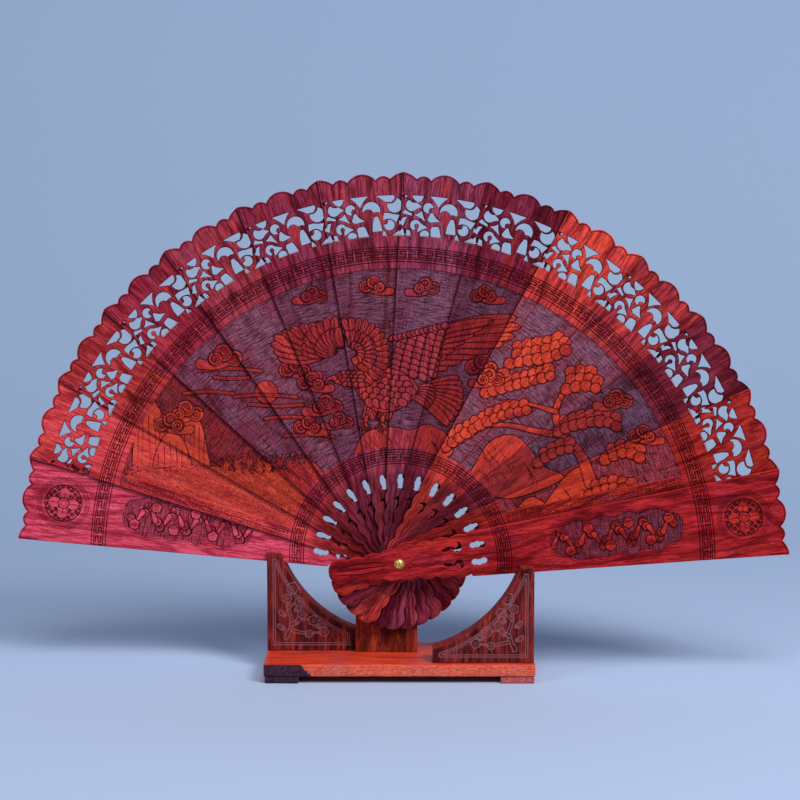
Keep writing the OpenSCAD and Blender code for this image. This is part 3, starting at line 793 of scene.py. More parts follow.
def holes_d(s, v, pierced):
    """How far a point is outside the blade's piercings; negative inside them."""
    d = np.full(s.shape, FAR)
    a = np.abs(s)
    for cs, cv in CLOUD_HOLES:
        d = np.minimum(d, np.hypot(a - cs, v - cv) - CLOUD_R)
    hook = np.hypot(a - CURL_AT[0], v - CURL_AT[1]) - CURL_R
    d = np.minimum(d, np.maximum(hook, BALL_R - np.hypot(a - BALL_AT[0], v - BALL_AT[1])))
    length = math.dist(LEAF_IN, LEAF_OUT)
    bow = arc_radius(length, LEAF_W / 2)
    ux, uv = (LEAF_OUT[0] - LEAF_IN[0]) / length, (LEAF_OUT[1] - LEAF_IN[1]) / length
    ms, mv = a - (LEAF_IN[0] + LEAF_OUT[0]) / 2, v - (LEAF_IN[1] + LEAF_OUT[1]) / 2
    p, q = ms * ux + mv * uv, mv * ux - ms * uv
    off = bow - LEAF_W / 2
    d = np.minimum(d, np.maximum(np.hypot(p, q + off), np.hypot(p, q - off)) - bow)
    if pierced:
        # The border follows arcs about the rivet, so on a blade's edges it starts lower than OPEN_IN_R
        near = (v > OPEN_IN_R - 6) & (v < OPEN_OUT_R + 2)
        r = np.hypot(s[near], v[near])
        window = np.minimum(OPEN_OUT_R - r, r - OPEN_IN_R)
        d[near] = np.minimum(d[near], -np.minimum(window, openings_d(s[near], v[near])))
    return d


def line_at(x, centre, width=LINE_W):
    """A line at a value of x: 1 on it and 0 beside it."""
    return np.clip(1.35 - 2 * np.abs(x - centre) / width, 0, 1)


def fret(run, share, size):
    """Key fret: S shapes and mirrored S shapes in turn, in a band of the given width."""
    cell = size / 5
    total = 0
    for du in (-0.12, 0.12):
        for dv in (-0.06, 0.06):
            u = (run + du) / cell
            col = np.floor(u % 6).astype(int)
            mirrored = (np.floor(u / 6).astype(int) % 2) == 1
            row = np.clip(np.floor((share + dv / size) * 5).astype(int), 0, 4)
            use = np.where(mirrored, 4 - col, col)
            total = total + np.where(col < 5, FRET_CELLS[row, np.clip(use, 0, 4)], 0)
    return total / 4


def blade_grid(pierced):
    """Rows follow arcs about the rivet, so that the engraved rings come out clean."""
    rows = []
    for (start, step), (stop, _) in zip(ROWS, ROWS[1:]):
        last = stop == ROWS[-1][0]
        rows.append(np.arange(start, stop, PLAIN_RIM_STEP if last and not pierced else step))
    rows = np.concatenate(rows)
    marks = [r + o for r in LINES for o in (-0.26, -0.1, 0.1, 0.26)]
    marks = np.array(marks + [r + o for r in FIELD for o in (-0.12, 0.12)])
    rows = rows[np.abs(rows[:, None] - marks[None]).min(1) > 0.11]
    rows = np.sort(np.concatenate([rows, marks]))
    half = 68 if pierced else 64
    cols = np.arange(-half, half + 1) * (0.5 + ROOT_HALF_W + FLARE * FAN_R) / half
    s, r = np.meshgrid(cols, rows)
    # Straight rows across the head give way to arcs
    bend = smooth_step(r, 26, 48)
    v = r - bend * (r - np.sqrt(np.maximum(r * r - s * s, 0)))
    return np.stack([s, v], -1)


SHAPES = {True: blade_grid(True), False: blade_grid(False)}


# The fret strip along a guard's edge: its width, and where the key pattern in it starts and ends
STRIP_W = 5.2
STRIP_KEY = (1.1, STRIP_W - 0.5)
# How dark each kind of line is inked, and how dark the painted shade beside the next blade, the neck and the
# openings' edges are, from 0 to 1
RING_INK, FRET_INK, STRIP_INK, SHADE_INK, NECK_DARKENING, OPENING_DARKENING = 0.72, 0.62, 0.5, 0.42, 0.34, 0.75
GOUGE_INK, GUARD_GOUGE_INK = 0.35, 0.8
DEEPEST = 0.85  # the most that the front is ever cut down, in mm
# The guards' art: the long panel's two ends, and the place and radius of the roundel's lattice
PANEL_ENDS = (78, 147)
ROUNDEL_V = 178.2
ROUNDEL_R = 9.4


def strip_beside_guard(k, x, z, s, v):
    """How far a point is into the fret strip that runs along the guard's edge, and how far along it."""
    if k == BLADES - 1:
        a = turn(BLADES)
        gs, gv = x * math.cos(a) - z * math.sin(a), x * math.sin(a) + z * math.cos(a)
        return -gs - ROOT_HALF_W - FLARE * gv, gv
    if k == 2:
        return ROOT_HALF_W + FLARE * v + s, v
    return np.full(s.shape, -FAR), v


def marked(depth, cut, line, down, ink):
    """Depth and darkness with a line cut in. The line is down mm deep, and ink says how dark."""
    return np.maximum(depth, down * line), np.maximum(cut, ink * line)


def relief(panel, x, y, field, cut_share):
    """A panel's relief where field is 1: depth, cut, raised and motif."""
    on_motif = panel.sample(panel.raised, x, y)
    depth = field * GROUND_DEPTH * (1 - panel.sample(panel.height, x, y))
    # Painted shade darkens the edges of the raised parts too
    cut = np.maximum(panel.sample(panel.cut, x, y) * cut_share, 3.6 * on_motif * (1 - on_motif) * field)
    return depth, cut, 1 - field * (1 - on_motif), field * on_motif


def picture_relief(k, panel, s, v, x, z, above):
    """An inner blade's part of the picture, with the fret strip where the blade lies beside a guard."""
    r = np.hypot(s, v)
    field = above * smooth_step(r, FIELD[0] - 0.1, FIELD[0] + 0.1)
    field = field * (1 - smooth_step(r, FIELD[1] - 0.1, FIELD[1] + 0.1))
    depth, cut, raised, motif = relief(panel, x, z, field, field)
    into, run = strip_beside_guard(k, x, z, s, v)
    inside = field * smooth_step(into, -0.2, 0.2) * (1 - smooth_step(into, STRIP_W + 0.8, STRIP_W + 1.2))
    depth, cut, motif = depth * (1 - inside), cut * (1 - inside), motif * (1 - inside)
    raised = raised + (1 - raised) * inside
    low, high = STRIP_KEY
    key = fret(run, (into - low) / (high - low), high - low) * ((into > low) & (into < high))
    line = np.maximum(line_at(into, low / 2), np.maximum(line_at(into, STRIP_W), 0.8 * key)) * field
    depth, cut = marked(depth, cut, line, FRET_DEPTH, STRIP_INK)
    return depth, cut, raised, motif


def carve_front(k, s, v, d, picture_panel, guard_panel):
    """Depth below blade k's front, with the fields its material reads."""
    a = turn(k)
    r = np.hypot(s, v)
    x, z = s * math.cos(a) + v * math.sin(a), v * math.cos(a) - s * math.sin(a)
    around = np.arctan2(x, z)
    above = (v > 5).astype(float)
    guard = k in (1, BLADES)
    if guard:
        field = guard_panel.sample(guard_panel.field, s, v)
        depth, cut, raised, motif = relief(guard_panel, s, v, field, 1.0)
    else:
        depth, cut, raised, motif = picture_relief(k, picture_panel, s, v, x, z, above)
    for ring in LINES:
        depth, cut = marked(depth, cut, above * line_at(r, ring), LINE_DEPTH, RING_INK)
    for low, high in FRETS:
        size = high - low
        key = fret(around * (low + high) / 2, (r - low) / size, size) * above * ((r > low) & (r < high))
        depth, cut = marked(depth, cut, key, FRET_DEPTH, FRET_INK)
    # A shadowy line along the scalloped rim
    rim_line = 0.8 * line_at(outline_d(s, v), RIM_LINE, 0.5) * (v > OPEN_OUT_R + 0.5)
    depth, cut = marked(depth, cut, rim_line, 0.15, 1.0)
    # Softly rounded faces on the scrolls and on the head
    pierced_zone = smooth_step(r, OPEN_IN_R - 0.5, OPEN_IN_R) * above * (0.0 if guard else 1.0)
    pierced_zone = pierced_zone * (1 - smooth_step(r, OPEN_OUT_R, OPEN_OUT_R + 0.5))
    petal = smooth_step(-v, 4, 14)
    round_r = 0.35 + 0.35 * pierced_zone + 1.6 * petal
    fall = 0.26 + 0.16 * pierced_zone + 0.34 * petal
    depth = depth + fall * (1 - np.clip(d / round_r, 0, 1)) ** 2
    gouge = head_lines(k, s, v)
    ink = GUARD_GOUGE_INK if k == BLADES else GOUGE_INK
    depth, cut = depth + 0.3 * gouge, np.maximum(cut, ink * gouge)
    if k < BLADES:
        # Painted shade beside and under the next blade, standing in for the shadow that its edge casts
        b = math.radians(SPREAD)
        into = side_d(s * math.cos(b) - v * math.sin(b), v * math.cos(b) + s * math.sin(b))
        cut = np.maximum(cut, SHADE_INK * np.clip(1 + into / (2.6 if k < 10 else 1.4), 0, 1) ** 1.3)
    if not guard:
        # The crowded neck is darker, from 8 to 52 mm out from the rivet
        cut = np.maximum(cut, NECK_DARKENING * above * smooth_step(r, 8, 16) * (1 - smooth_step(r, 44, 52)))
    # The wood is darker within 0.42 mm of the openings' edges
    cut = np.maximum(cut, OPENING_DARKENING * pierced_zone * np.clip(1 - d / 0.42, 0, 1))
    edge = np.clip(1 - d / 0.7, 0, 1) * (1 - pierced_zone)
    return {"depth": np.clip(depth, 0, DEEPEST), "raised": raised, "cut": np.clip(cut, 0, 1), "edge": edge,
            "motif": motif}


def head_lines(k, s, v):
    """Three gouged lines down a blade's head, and above the front guard's rivet a leaf with barbs."""
    out = np.zeros(s.shape)
    for lean in (-0.42, 0.42, 0.0):
        centre = lean * half_w(v) * np.sin(np.clip((-v - 3) / 26, 0, 1) * math.pi * 0.75)
        ends = smooth_step(-v, 5, 9) * (1 - smooth_step(-v, HEAD_R - 7, HEAD_R - 3))
        out = np.maximum(out, np.clip(1.3 - np.abs(s - centre) / 0.3, 0, 1) * ends)
    if k == BLADES:
        leaf = 3.6 * np.sin(np.clip((v - 5) / 17, 0, 1) * math.pi) - np.abs(s)
        barbs = np.abs(np.mod(v + 1.2 * np.abs(s), 1.9) - 0.95)
        out = np.maximum(out, 0.6 * np.clip(1.3 - barbs / 0.25, 0, 1) * (leaf > 0))
        out = np.maximum(out, 0.7 * np.clip(1.3 - np.abs(leaf) / 0.25, 0, 1) * (v > 5) * (v < 22))
    return out


def carve_back(s, v, d, grooved):
    """Depth above a blade's back: worn edges and the groove that the thread lies in."""
    r = np.hypot(s, v)
    depth = 0.2 * (1 - np.clip(d / 0.3, 0, 1)) ** 2
    groove = np.clip((GROOVE_HALF - np.abs(r - THREAD_R)) / 0.15, 0, 1) * (v > 5) * (1.0 if grooved else 0.0)
    return {"depth": np.maximum(depth, 0.52 * groove), "raised": 1.0, "cut": 0.5 * groove,
            "edge": np.clip(1 - d / 0.7, 0, 1)}


def blade_place(k):
    """Blade k's way from its own plane to the world."""
    a = turn(k)
    front_y, back_y = depth_range(node_of(k))

    def place(s, v, depth, from_back):
        x = s * math.cos(a) + v * math.sin(a)
        z = PIVOT_Z + v * math.cos(a) - s * math.sin(a)
        y = back_y - depth if from_back else front_y + depth
        return np.stack([x, y, z], 1)

    return place


def guard_art():
    """A rosette near the rim and a long lobed panel of clouds and blossoms."""
    box = (-24, 24, 60, 200)
    panel = Panel(*box)
    everything, x, y = panel.window(*box)
    # The long panel, with its rounded ends and wavy sides
    low, high = PANEL_ENDS
    share = np.clip((y - low) / (high - low), 0, 1)
    ends = np.sqrt(np.clip(1 - np.abs(2 * share - 1) ** 5, 0, 1))
    half = ends * (9.6 + 1.5 * share + 0.9 * np.cos(share * 10 * math.pi))
    inside = np.where((y > low) & (y < high), half - np.abs(x), -FAR)
    panel.field = np.clip(inside / 0.3, 0, 1)
    frame_line = np.maximum(line_at(inside, -0.9, 0.6), line_at(inside, 0.15, 0.7))
    # The roundel: a beaded edge, plain rings and a rosette on a lattice
    y = y - ROUNDEL_V
    r, phi = np.hypot(x, y), np.arctan2(y, x)
    panel.field = np.maximum(panel.field, np.clip((ROUNDEL_R + 0.2 - r) / 0.3, 0, 1))
    lattice = 0.5 - np.minimum(np.abs(np.mod(x + y, 3.6) - 1.8), np.abs(np.mod(x - y, 3.6) - 1.8)) / 1.42
    panel.stamp(everything, np.minimum(lattice, ROUNDEL_R - r), 0.85)
    petals = 8.2 * np.abs(np.cos(2 * phi)) ** 0.6 - r
    veins = np.clip(1 - np.abs(np.sin(4 * phi)) * r / 0.6, 0, 1) * (r > 2.5)
    panel.stamp(everything, petals, 1.0, 0.7 * veins)
    panel.stamp(everything, 2.6 - r, 1.0, 0.7 * np.clip(1 - np.abs(r - 1.4) / 0.4, 0, 1))
    roundel = line_at(r, 13.1 + 0.55 * np.abs(np.sin(14 * phi)), 0.7)
    for ring in (12.4, 11.5, 9.8):
        roundel = np.maximum(roundel, line_at(r, ring, 0.6))
    for i in range(9):
        way = 1 if i % 2 else -1
        cloud_up(panel, 3.2 * way, 84 + 7.1 * i, 3.1, way)
    for i in range(6):
        blossom(panel, 5.2 * (-1 if i % 2 else 1), 88 + 10.4 * i, 2.9)
    panel.cut = np.maximum(panel.cut * (panel.field > 0), 0.5 * np.maximum(frame_line, roundel))
    panel.height = np.clip(panel.height, 0, 1)
    return panel


def cloud_up(panel, x0, y0, size, way):
    """A cloud on a slanting stalk, for the guards' long panel."""
    stalk = [(x0 - way * 1.6 * size, y0 - 1.4 * size), (x0, y0 - 0.6 * size), (x0 + way * 0.8 * size, y0)]
    strip(panel, stalk, 0.9 * size, 0.75)
    curl(panel, x0 + way * 0.5 * size, y0, 0.62 * size, 0.5, way, 1.1)
    curl(panel, x0 - way * 0.4 * size, y0 + 0.45 * size, 0.55 * size, 2.5, -way, 1.1)


def blossom(panel, x0, y0, radius):
    """A five-petalled flower."""
    place, x, y = panel.window(x0 - radius, x0 + radius, y0 - radius, y0 + radius)
    r, phi = np.hypot(x - x0, y - y0), np.arctan2(y - y0, x - x0)
    d = radius * (0.78 + 0.22 * np.abs(np.cos(2.5 * phi))) - r
    veins = np.clip(1 - np.abs(np.sin(2.5 * phi)) * r / 0.5, 0, 1) * (r > 0.3 * radius)
    core = np.clip(1 - np.abs(r - 0.3 * radius) / 0.3, 0, 1)
    panel.stamp(place, d, 0.95, np.clip(0.7 * (veins + core), 0, 1))


# ---- Materials ----


class Shader:
    """A short way to write a node material."""

    def __init__(self, name):
        self.material = bpy.data.materials.new(name)
        self.material.use_nodes = True
        self.tree = self.material.node_tree
        self.tree.nodes.clear()
        self.surface = self.tree.nodes.new("ShaderNodeBsdfPrincipled")
        output = self.tree.nodes.new("ShaderNodeOutputMaterial")
        self.tree.links.new(self.surface.outputs["BSDF"], output.inputs["Surface"])

    def put(self, socket, value):
        """Links a socket to another, or sets its value."""
        if isinstance(value, bpy.types.NodeSocket):
            self.tree.links.new(value, socket)
        elif isinstance(value, (tuple, list)) and len(value) == 3 and socket.type == "RGBA":
            socket.default_value = (*value, 1)
        else:
            socket.default_value = value

    def node(self, kind, **inputs):
        """A new node with some of its inputs given."""
        made = self.tree.nodes.new(kind)
        for key, value in inputs.items():
            self.put(made.inputs[key], value)
        return made

    def attribute(self, name, vector=False):
        made = self.tree.nodes.new("ShaderNodeAttribute")
        made.attribute_name = name
        return made.outputs["Vector" if vector else "Fac"]

    def math(self, operation, a, b=0.0):
        made = self.tree.nodes.new("ShaderNodeMath")
        made.operation = operation
        self.put(made.inputs[0], a)
        self.put(made.inputs[1], b)
        return made.outputs[0]

    def scaled(self, vector, factors):
        made = self.tree.nodes.new("ShaderNodeVectorMath")
        made.operation = "MULTIPLY"
        self.put(made.inputs[0], vector)
        made.inputs[1].default_value = factors
        return made.outputs[0]

    def noise(self, vector, factors, detail=3.0, rough=0.55, distortion=0.0):
        """Noise with its own stretch along each axis, from 0 to 1."""
        made = self.node("ShaderNodeTexNoise", Vector=self.scaled(vector, factors), Scale=1.0, Detail=detail,
                         Roughness=rough, Distortion=distortion)
        return made.outputs["Fac"]

    def times(self, a, b):
        return self.math("MULTIPLY", a, b)

    def plus(self, a, b):
        return self.math("ADD", a, b)

    def span(self, value, low, high, to_low=0.0, to_high=1.0):
        """A smooth step from to_low, where the value is low, to to_high."""
        made = self.tree.nodes.new("ShaderNodeMapRange")
        made.interpolation_type = "SMOOTHSTEP"
        for key, given in (("Value", value), ("From Min", low), ("From Max", high), ("To Min", to_low),
                           ("To Max", to_high)):
            self.put(made.inputs[key], given)
        return made.outputs["Result"]

    def mix(self, share, a, b):
        """Colour a, with b taking its share of it."""
        made = self.tree.nodes.new("ShaderNodeMix")
        made.data_type = "RGBA"
        made.clamp_factor = True
        self.put(made.inputs[0], share)
        self.put(made.inputs[6], a)
        self.put(made.inputs[7], b)
        return made.outputs[2]

    def place(self):
        return self.tree.nodes.new("ShaderNodeTexCoord").outputs["Object"]

    def layers(self, colour, rows):
        """Colour under layers: each a pattern, the values it comes in between, its share and its tone."""
        for pattern, low, high, share, tone in rows:
            colour = self.mix(self.span(pattern, low, high, 0.0, share), colour, tone)
        return colour

    def bump(self, height, distance, strength):
        made = self.node("ShaderNodeBump", Height=height, Distance=distance, Strength=strength)
        self.put(self.surface.inputs["Normal"], made.outputs["Normal"])

    def finish(self, **inputs):
        """Sets the shader's own inputs, with _ for a space in their names."""
        for key, value in inputs.items():
            self.put(self.surface.inputs[key.replace("_", " ")], value)
        return self.material


def hue(code):
    """A linear colour from a hex code."""
    parts = [int(code[i:i + 2], 16) / 255 for i in (0, 2, 4)]
    return tuple(c / 12.92 if c < 0.04045 else ((c + 0.055) / 1.055) ** 2.4 for c in parts)


# The darkest tone: pores, the ground's scratches and cut lines, and also painted shade
INK_AND_SHADE = hue("240409")
# A pinkish tone: partly the wood's purplish figure, partly painted sheen
PINK_FIGURE_AND_SHEEN = hue("8e3c5a")
# A pale tone for the brackets' cut lines, a painted highlight on their edges
BRACKET_CUT_HIGHLIGHT = hue("84525a")
STAIN = hue("151a30")
SAWN = hue("d8806c")


def carved_wood(name, tones, lines=0.3, figure_and_sheen=0.6, cut_tone=INK_AND_SHADE):
    """Dyed wood: streaky figure along the blade with patches of painted sheen, a dusty woven ground, cut
    lines and painted shade in one tone, worn edges.
    """
    light, mid, dark, flash, ground = (hue(code) for code in tones)
    sh = Shader(name)
    grain, spot = sh.attribute("grain", True), sh.attribute("spot", True)
    raised, cut, edge, motif = (sh.attribute(key) for key in ("raised", "cut", "edge", "motif"))
    cut = sh.span(cut, 0.06, 0.62)
    broad = sh.noise(grain, (0.13, 0.022, 0.15), 4.0, 0.62, 1.2)
    bands = sh.noise(grain, (0.60, 0.060, 0.6), 4.0, 0.65, 0.7)
    streaks = sh.noise(grain, (1.5, 0.075, 1.5), 4.0, 0.7, 0.3)
    fibres = sh.noise(grain, (4.2, 0.24, 4.2), 3.0, 0.6, 0.2)
    pores = sh.noise(grain, (3.2, 0.50, 3.2), 2.0, 0.5, 0.0)
    glow = sh.noise(grain, (0.15, 0.024, 0.15), 3.0, 0.6, 1.0)
    haze = sh.noise(grain, (0.11, 0.035, 0.1), 4.0, 0.65, 0.8)
    rings = sh.math("SINE", sh.times(sh.noise(grain, (0.05, 0.0065, 0.1), 2.0, 0.4, 0.3), 60.0))
    # The wood's figure, with pinkish patches that are partly the wood's own tone and partly painted sheen
    colour = sh.layers(mid, (
        (bands, 0.36, 0.62, 0.8, light), (glow, 0.56, 0.68, 0.75, flash), (haze, 0.54, 0.70, figure_and_sheen, PINK_FIGURE_AND_SHEEN),
        (streaks, 0.52, 0.60, 0.5, light), (broad, 0.50, 0.64, 0.7, dark),
    ))
    colour = sh.mix(sh.span(streaks, 0.40, 0.47, 0.62, 0.0), colour, dark)
    # The raised motifs are a little brighter, and more even
    on_top = sh.mix(sh.span(bands, 0.35, 0.6), sh.mix(0.45, flash, mid), flash)
    on_top = sh.mix(sh.span(haze, 0.50, 0.64, 0.0, 0.55), on_top, mid)
    colour = sh.mix(sh.times(motif, 0.62), colour, on_top)
    colour = sh.layers(colour, (
        (rings, 0.2, 0.98, lines, dark), (fibres, 0.46, 0.66, 0.62, dark), (pores, 0.60, 0.70, 0.7, INK_AND_SHADE),
    ))
    # The sunk ground, scratched all over
    rows = sh.noise(spot, (0.16, 2.6, 1.0), 2.0, 0.5, 0.5)
    stitches = sh.noise(spot, (2.8, 0.8, 1.0), 2.0, 0.6, 0.3)
    cross = sh.noise(spot, (3.4, 0.16, 1.0), 2.0, 0.6, 0.3)
    weave = sh.times(sh.span(rows, 0.40, 0.56, 0.25, 1.0), sh.span(stitches, 0.30, 0.56, 0.35, 1.0))
    weave = sh.times(weave, sh.span(cross, 0.32, 0.52, 0.3, 1.0))
    drift = sh.noise(spot, (0.05, 0.04, 1.0), 3.0, 0.6, 0.4)
    floor = sh.layers(ground, ((drift, 0.42, 0.62, 0.5, mid), (broad, 0.5, 0.66, 0.55, dark)))
    floor = sh.mix(sh.span(weave, 0.05, 0.85, 0.9, 0.0), floor, INK_AND_SHADE)
    floor_share = sh.math("SUBTRACT", 1.0, raised)
    colour = sh.mix(floor_share, colour, floor)
    colour = sh.mix(sh.times(edge, sh.span(fibres, 0.3, 0.6, 0.1, 0.45)), colour, light)
    # Cut lines and painted shade take this tone; on the brackets it is pale, a painted highlight on the cut
    # lines
    colour = sh.mix(sh.times(cut, 0.9), colour, cut_tone)
    rough = sh.plus(sh.span(fibres, 0.3, 0.7, 0.42, 0.58), sh.times(floor_share, 0.3))
    height = sh.plus(sh.times(fibres, -0.5), sh.times(sh.span(pores, 0.62, 0.72), -0.8))
    height = sh.plus(height, sh.times(sh.times(weave, floor_share), 1.6))
    sh.bump(height, 0.00008, 0.6)
    return sh.finish(Base_Color=colour, Roughness=rough, Specular_IOR_Level=0.02)


# Each blade's light, middle and dark wood, the tone of its bright streaks and motifs, and its dusty ground.
# The tones differ from blade to blade partly as the wood does and partly as painted light: the blades on the
# left are painted lighter, as if more light fell on them.
BLADE_LOOKS = (
    ("f05e78", "cc384e", "861828", "ec5a70", "b24258"),
    ("f25a5c", "c62e38", "7a1018", "fa5c44", "ae3c4a"),
    ("cc464c", "9c2426", "560a0e", "e6522e", "8c3038"),
    ("b43a4e", "821826", "440610", "d24030", "8a4c62"),
    ("b84858", "861c28", "42060e", "dc4634", "905268"),
    ("a43a54", "701428", "360610", "c0382c", "7e485e"),
    ("b44860", "761826", "3a060e", "d2402e", "7e485c"),
    ("ac4e6a", "6e1a30", "34060e", "c03c38", "845068"),
    ("8c2c44", "600e1c", "2e040a", "b43228", "704258"),
    ("f05448", "aa262a", "500a12", "f25430", "90586c"),
    ("c44646", "8c1e2c", "420810", "e8482a", "90566c"),
    ("8a2c3c", "5e1420", "2e050c", "b2362a", "704a60"),
    ("bc342c", "8c1a1a", "50080a", "dc462a", "9c3c48"),
    ("c22e32", "961820", "50070d", "d03a2e", "7c3446"),
)
# How strong the growth lines and the pinkish patches are, partly the wood's purplish figure and partly
# painted sheen
GUARD_LINES, GUARD_FIGURE_AND_SHEEN, BLADE_LINES, BLADE_FIGURE_AND_SHEEN = 0.6, 0.25, 0.25, 0.6


def brass():
    """Worn brass with a dark stamp."""
    sh = Shader("look_brass")
    grain = sh.attribute("grain", True)
    wear = sh.noise(grain, (0.9, 0.9, 0.9), 4.0, 0.6)
    fine = sh.noise(grain, (9.0, 9.0, 9.0), 2.0, 0.5)
    cut = sh.attribute("cut")
    colour = sh.mix(sh.span(wear, 0.4, 0.7), (0.86, 0.60, 0.22), (0.58, 0.36, 0.11))
    colour = sh.mix(sh.times(cut, 0.7), colour, (0.10, 0.06, 0.03))
    sh.bump(fine, 0.00003, 0.5)
    return sh.finish(Base_Color=colour, Metallic=1.0, Roughness=sh.span(wear, 0.3, 0.7, 0.22, 0.42))


def thread():
    """Cotton dyed by the wood that it rubs on."""
    sh = Shader("look_thread")
    grain = sh.attribute("grain", True)
    fibre = sh.noise(grain, (6.0, 6.0, 6.0), 3.0, 0.6)
    soil = sh.noise(grain, (0.3, 0.3, 0.3), 3.0, 0.6)
    colour = sh.mix(sh.span(fibre, 0.3, 0.7), (0.66, 0.52, 0.48), (0.42, 0.29, 0.28))
    colour = sh.mix(sh.span(soil, 0.45, 0.75, 0.0, 0.6), colour, (0.30, 0.10, 0.10))
    sh.bump(fibre, 0.00004, 0.6)
    return sh.finish(Base_Color=colour, Roughness=0.85)


def dowel_wood():
    """Pale wood. The dowels are CAD objects in metres, so its noise is a thousand times finer."""
    sh = Shader("look_dowel")
    place = sh.place()
    grain = sh.noise(place, (1800, 1800, 120), 3.0, 0.6)
    rings = sh.noise(place, (500, 500, 60), 2.0, 0.5)
    colour = sh.mix(sh.span(grain, 0.35, 0.65), (0.52, 0.30, 0.14), (0.34, 0.17, 0.07))
    colour = sh.mix(sh.span(rings, 0.4, 0.7, 0.0, 0.5), colour, (0.24, 0.10, 0.05))
    sh.bump(grain, 0.00005, 0.5)
    return sh.finish(Base_Color=colour, Roughness=0.6)


def sawn_wood(name, tones):
    """Rougher wood of the stand: figure along x, saw marks on the sides, a dark stain, worn edges."""
    light, mid, dark, patch = (hue(code) for code in tones)
    sh = Shader(name)
    grain = sh.attribute("grain", True)
    edge, end, stain = (sh.attribute(key) for key in ("edge", "end", "stain"))
    broad = sh.noise(grain, (0.020, 0.16, 0.16), 4.0, 0.6, 0.8)
    bands = sh.noise(grain, (0.055, 0.9, 0.9), 4.0, 0.62, 0.6)
    fibres = sh.noise(grain, (0.22, 4.2, 4.2), 3.0, 0.6, 0.2)
    saw = sh.noise(grain, (0.7, 0.5, 1.3), 3.0, 0.65, 0.4)
    blots = sh.noise(grain, (0.05, 0.07, 0.09), 3.0, 0.6, 0.5)
    colour = sh.layers(light, (
        (bands, 0.40, 0.62, 1.0, mid), (broad, 0.50, 0.70, 0.8, dark), (fibres, 0.46, 0.72, 0.5, dark),
        (blots, 0.48, 0.66, 0.6, patch),
    ))
    rough_face = sh.mix(sh.span(saw, 0.36, 0.70, 0.1, 0.7), colour, SAWN)
    rough_face = sh.mix(sh.span(saw, 0.28, 0.42, 0.4, 0.0), rough_face, dark)
    colour = sh.mix(end, colour, rough_face)
    colour = sh.mix(sh.times(edge, sh.span(fibres, 0.3, 0.6, 0.2, 0.6)), colour, light)
    stained = sh.times(sh.span(stain, 0.1, 0.5), sh.span(saw, 0.3, 0.7, 1.0, 0.88))
    colour = sh.mix(stained, colour, STAIN)
    height = sh.plus(sh.times(fibres, -0.6), sh.times(sh.times(saw, end), 2.4))
    sh.bump(height, 0.00016, 0.7)
    rough = sh.plus(sh.span(fibres, 0.3, 0.7, 0.36, 0.52), sh.times(end, 0.3))
    return sh.finish(Base_Color=colour, Roughness=rough, Specular_IOR_Level=0.07)


# ---- The fan ----

DOME_STEPS = 22
STAMP_DEPTH = 0.16
CROWN_RISE = 0.8  # the domed part of the rivet's rear cap
PLY_R = 0.13
PLY_TURN = 1.1  # the length in which the plies go once round each other
PLY_SIDES = 6
PLY_STEP = 0.16
NO_SHARP = 3.1  # an angle that no two faces reach


def hand_over(piece, look, body, node):
    """Gives a finished piece its material and says what it rides on and replaces."""
    piece.data.materials.append(look)
    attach(piece, body)
    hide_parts(node)


def groove_points():
    """Points along the thread's groove, so that the flat back can sink there."""
    low, high = THREAD_R - GROOVE_HALF, THREAD_R + GROOVE_HALF
    angles = np.radians(np.arange(-7.2, 7.3, 0.2))
    radii = (low, low + 0.15, high - 0.15, high)
    return np.array([(r * math.sin(a), r * math.cos(a)) for r in radii for a in angles])


def fan():
    """The blades and the two guards, each one a carved plate."""
    art, side_art = picture(), guard_art()
    in_groove, no_points = groove_points(), np.zeros((0, 2))
    for k in range(1, BLADES + 1):
        pierced = k not in (1, BLADES)

        def value_at(s, v):
            return np.minimum(outline_d(s, v), holes_d(s, v, pierced))

        blade = plate(
            f"fan_{body_for(k)}", SHAPES[pierced], value_at,
            lambda s, v, d: carve_front(k, s, v, d, art, side_art),
            lambda s, v, d: carve_back(s, v, d, pierced),
            blade_place(k), in_groove if pierced else no_points, 37.0 * k,
        )
        lines, figure_and_sheen = (BLADE_LINES, BLADE_FIGURE_AND_SHEEN) if pierced else (GUARD_LINES, GUARD_FIGURE_AND_SHEEN)
        look = carved_wood(f"look_blade_{k:02d}", BLADE_LOOKS[k - 1], lines, figure_and_sheen)
        hand_over(blade, look, body_for(k), node_of(k))


def lathe(name, profile, centre, side, stamp=None, sides=72):
    """A turned part about the Y axis: profile is (radius, distance towards side) in mm."""
    profile = np.array(profile, float)
    angles = np.linspace(0, 2 * math.pi, sides, endpoint=False)
    r, a = np.meshgrid(profile[:, 0], angles, indexing="ij")
    reach = np.repeat(profile[:, 1][:, None], sides, 1)
    cut = np.zeros(r.shape)
    if stamp:
        cut = stamp(r * np.cos(a), r * np.sin(a)) * (reach > 0)
        reach = reach - STAMP_DEPTH * cut
    verts = np.stack([centre[0] + r * np.cos(a), centre[1] + side * reach, centre[2] + r * np.sin(a)], -1)
    rings = len(profile)
    index = np.arange(rings * sides).reshape(rings, sides)
    ahead = np.roll(index, -1, 1)
    quads = np.stack([index[:-1], index[1:], ahead[1:], ahead[:-1]], -1)
    quads, first, last = quads.reshape(-1, 4), index[0][::-1], index[-1]
    if side > 0:
        quads, first, last = quads[:, ::-1], first[::-1], last[::-1]
    loops = np.concatenate([quads.ravel(), first, last])
    sizes = np.concatenate([np.full(len(quads), 4), [sides, sides]])
    fields = {"grain": verts.reshape(-1, 3), "cut": cut.ravel()}
    return build_mesh(name, verts.reshape(-1, 3), loops, sizes, fields, math.radians(40))


